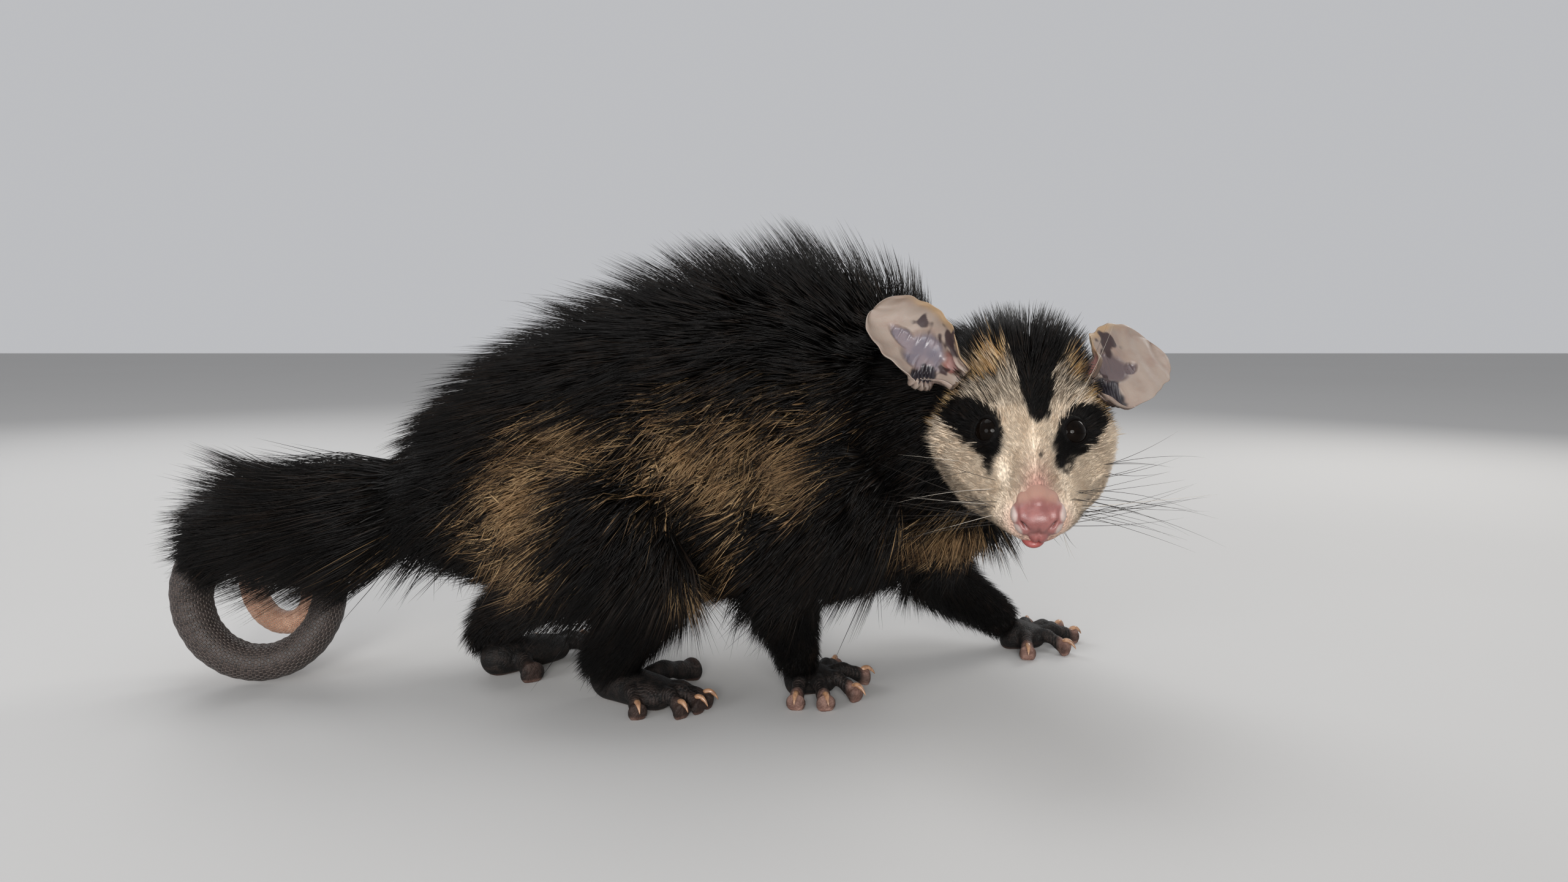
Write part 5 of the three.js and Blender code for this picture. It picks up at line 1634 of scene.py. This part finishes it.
def headBatch(count, until, kind):
    # strands on the head up to a share of its length: scattered roots clear of the eyes, nose and lips, a lie
    # that runs back, down the cheeks and away from the eyes, and a stand and length that grow on the crown
    # and on the ruff of the cheeks
    t, angle = headBody.scatter(count)
    kept = (t > 0) & (t < until)
    t, angle = t[kept], angle[kept]
    points = headSurface(t, angle)
    normals = headBody.normal(t, angle)
    clear = np.full(len(points), 9.0)
    for side in eyes:
        _, distance, polar = fromEye(points, side)
        clear = np.where(distance < 12, np.minimum(clear, polar), clear)
    lips = bump(points, (41, 0, -20), (8, 8, 4)) > 0.4
    bridge = np.exp(-(((points[:, 1] - 0.5) / 7) ** 2)) * (np.sin(angle) > -0.2)
    bare = smoothstep(points[:, 0], 30, 41) * bridge
    fromNose = np.linalg.norm(points - np.array(headFur["nose"]), axis=-1)
    kept = (clear > headFur["lids"]) & (fromNose > headFur["clear"]) & ~lips
    kept &= bare < rng.random(len(points)) * 0.8
    t, angle, points, normals = t[kept], angle[kept], points[kept], normals[kept]
    top = np.clip(np.sin(angle), 0, 1)
    back = smoothstep(-points[:, 0], -2, 26)
    flow = np.stack([-np.ones(len(points)), 0.25 * np.sign(points[:, 1]), -0.15 - 0.3 * (1 - top)], -1)
    for side in eyes:
        away, distance, _ = fromEye(points, side)
        flow = flow + 1.3 * unit(away) * np.exp(-((distance / 9.5) ** 2))[:, None]
    lies = lieOn(unit(flow) + rng.normal(size=points.shape) * 0.14, normals)
    depth = headBody.coat(t, angle)
    crown = smoothstep(-points[:, 0], 12, 30) * top
    ruff = smoothstep(np.abs(points[:, 1]), 17, 25) * smoothstep(points[:, 2], 4, -4)
    ruff = ruff * smoothstep(points[:, 0], 16, 4)
    stand = np.radians(15 + 42 * crown + 8 * back + 14 * ruff) * (1 + 0.15 * rng.normal(size=len(points)))
    height = np.maximum(depth * (0.95 + 1.0 * crown + 0.5 * ruff), 0.9)
    vary = np.clip(1 + 0.2 * rng.normal(size=len(points)), 0.5, 1.4)
    lengths = np.clip(height / np.sin(stand), headFur["least"], headFur["most"]) * vary
    if kind == "short":
        lengths = np.minimum(lengths, 4.0 + 1.5 * ruff)
    else:
        longest = np.interp(points[:, 0], longestCrown["x"], longestCrown["length"])
        lengths = np.minimum(lengths, longest + 5 * ruff)
    for ear in ears.values():
        fromRoot = np.linalg.norm(points - np.array(ear["root"]), axis=-1)
        lengths = lengths * (0.6 + 0.4 * smoothstep(fromRoot, 9, 18))
    return {
        "roots": onHead(points - normals * 0.3), "normals": normals @ headTurn.T, "lies": lies @ headTurn.T,
        "lengths": lengths, "rise": stand * 1.2, "bend": stand * 0.75, "droop": np.full(len(points), 0.03),
        "widths": np.clip(lengths * 0.04, 0.15, 0.42), "cells": bakeCells("head", t, angle),
    }


def headMarks(points):
    # the face's markings for hairs, a little more ragged than the skin's
    return faceMarks(offHead(points), 1.2)


for name in ("coat_face", "coat_crown"):
    coat = coats[name]
    batch = headBatch(int(coat["strands"] * quickShare), coat["until"], coat["kind"])
    total += makeCoat(name, [batch], headMarks, headFurMaterial)
print("coat triangles in all:", total)

# Whiskers: thin tapered tubes that leave the muzzle, cheeks, brows and chin and curve back. Each place gives
# how many grow on a side, ranges for their roots, the way out, the length and the curve, and the thickness.
whiskers = {
    "muzzle": {
        "count": 22, "root": [(24, 37), (7, 13), (-19, -8)], "out": [(-0.35, 0.25), 1.0, (-0.45, 0.35)],
        "length": (34, 60), "thick": 0.11, "curve": [(-1.1, -0.4), 0, (-0.9, -0.1)],
    },
    "cheek": {
        "count": 7, "root": [(2, 14), (24, 27), (-14, -6)], "out": [(-0.6, 0), 1.0, (-0.3, 0.3)],
        "length": (22, 40), "thick": 0.1, "curve": [(-1, -0.4), 0, (-0.8, 0)],
    },
    "brow": {
        "count": 5, "root": [(-4, 2), (11, 16), (9, 12)], "out": [(0.1, 0.5), 0.5, 1.0],
        "length": (22, 38), "thick": 0.1, "curve": [-1.1, 0, 0],
    },
    "chin": {
        "count": 6, "root": [(24, 34), (2, 9), (-23, -20)], "out": [(-0.2, 0.4), (0, 0.6), -1.0],
        "length": (12, 24), "thick": 0.09, "curve": [-0.8, 0, 0],
    },
}
whiteShare = 0.06  # the share of whiskers that are pale


def drawn(value):
    # a number as it is, or a random one from a range
    if isinstance(value, tuple):
        return value[0] + (value[1] - value[0]) * rng.random()
    return value


def drawnPoint(values):
    # three such numbers
    return np.array([drawn(value) for value in values])


def whiskerLines(side):
    # the root, plus a straight way out, plus a curve that grows with the square of the share along
    s = np.linspace(0, 1, 14)[:, None]
    lines = []
    for place in whiskers.values():
        for _ in range(place["count"]):
            root, out = (drawnPoint(place[key]) * [1, side, 1] for key in ("root", "out"))
            length = drawn(place["length"])
            curve = drawnPoint(place["curve"])
            lines.append((root + unit(out) * length * s + curve * length * 0.45 * s**2, place["thick"]))
    return lines


def whiskerGrid(line, thick):
    # five-sided rings across the line, which taper towards its tip
    s = np.linspace(0, 1, len(line))[:, None]
    along = unit(np.gradient(line, axis=0))
    a = unit(np.cross(along, [0.3, 0.2, 1.0]))
    b = np.cross(along, a)
    turn = turns(5)[None, :, None]
    radius = (thick * (1 - 0.93 * s**1.3))[:, :, None]
    return line[:, None] + radius * (np.cos(turn) * a[:, None] + np.sin(turn) * b[:, None])


grids, tones = [], []
for side in (1, -1):
    for line, thick in whiskerLines(side):
        grids.append(whiskerGrid(onHead(line), thick))
        tones.append(float(rng.random() < whiteShare))
mesh, points = gridMesh("whiskers", grids)
tones = np.repeat(tones, len(points) // len(tones))
addColour(mesh, "tone", np.stack([tones, tones, tones], -1))
whiskerGraph = Graph("whisker_hair", Roughness=0.45, Specular_IOR_Level=0.2)
white = whiskerGraph.attribute("tone")[0]
fleck = whiskerGraph.noise(800.0, 2.0)
whiskerDark = whiskerGraph.blend(fleck, (0.008, 0.007, 0.006), (0.03, 0.024, 0.02))
whiskerMaterial = whiskerGraph.feed(Base_Color=whiskerGraph.blend(white, whiskerDark, (0.40, 0.36, 0.31)))
newPiece("whiskers", mesh, whiskerMaterial)
print("whiskers done")

# Pale floor, studio light and world
stage = {"floor": (0.47, 0.466, 0.46), "half": 4.0, "sky": (0.92, 0.93, 0.96, 1), "world": 0.55}
half = stage["half"]
floorCorners = [(-half, -half, 0), (half, -half, 0), (half, half, 0), (-half, half, 0)]
floorMesh = bpy.data.meshes.new("floor")
floorMesh.from_pydata(floorCorners, [], [(0, 1, 2, 3)])
floor = addObject("floor", floorMesh)
floorGraph = Graph("floor_paint", Specular_IOR_Level=0.2)
cloud = floorGraph.noise(2.0, 3.0)
floorMesh.materials.append(floorGraph.feed(
    Base_Color=floorGraph.blend(cloud, stage["floor"], tuple(0.97 * c for c in stage["floor"])),
    Roughness=0.75 + cloud * 0.1,
))
world = bpy.data.worlds.new("studio")
bpy.context.scene.world = world
world.use_nodes = True
background = world.node_tree.nodes["Background"]
background.inputs[0].default_value = stage["sky"]
background.inputs[1].default_value = stage["world"]
lights = [
    {"name": "key", "from": (0.09, -2.0, 0.65), "size": 0.9, "watts": 36, "colour": (1.0, 0.98, 0.95)},
    {"name": "glint", "from": (-0.05, -1.7, 0.47), "size": 0.1, "watts": 3.8, "colour": (1.0, 1.0, 1.0)},
    {"name": "fill", "from": (-1.35, -1.7, 0.55), "size": 1.1, "watts": 19, "colour": (0.97, 0.98, 1.0)},
    {"name": "top", "from": (-0.1, 0.2, 1.3), "size": 0.9, "watts": 4.5, "colour": (1.0, 1.0, 1.0)},
    {"name": "rim", "from": (0.9, 0.9, 0.7), "size": 0.6, "watts": 5, "colour": (1.0, 0.98, 0.95)},
    {"name": "back", "from": (-0.8, 1.0, 0.8), "size": 0.7, "watts": 4.5, "colour": (1.0, 1.0, 1.0)},
]
for light in lights:
    lamp = bpy.data.lights.new(light["name"], "AREA")
    lamp.shape = "DISK"
    lamp.size = light["size"]
    lamp.energy = light["watts"]
    lamp.color = light["colour"]
    holder = addObject(light["name"], lamp)
    holder.location = light["from"]
    aim = Vector((0, 0, 0.1)) - Vector(light["from"])
    holder.rotation_euler = aim.to_track_quat("-Z", "Y").to_euler()
bpy.context.scene.view_settings.view_transform = "Standard"
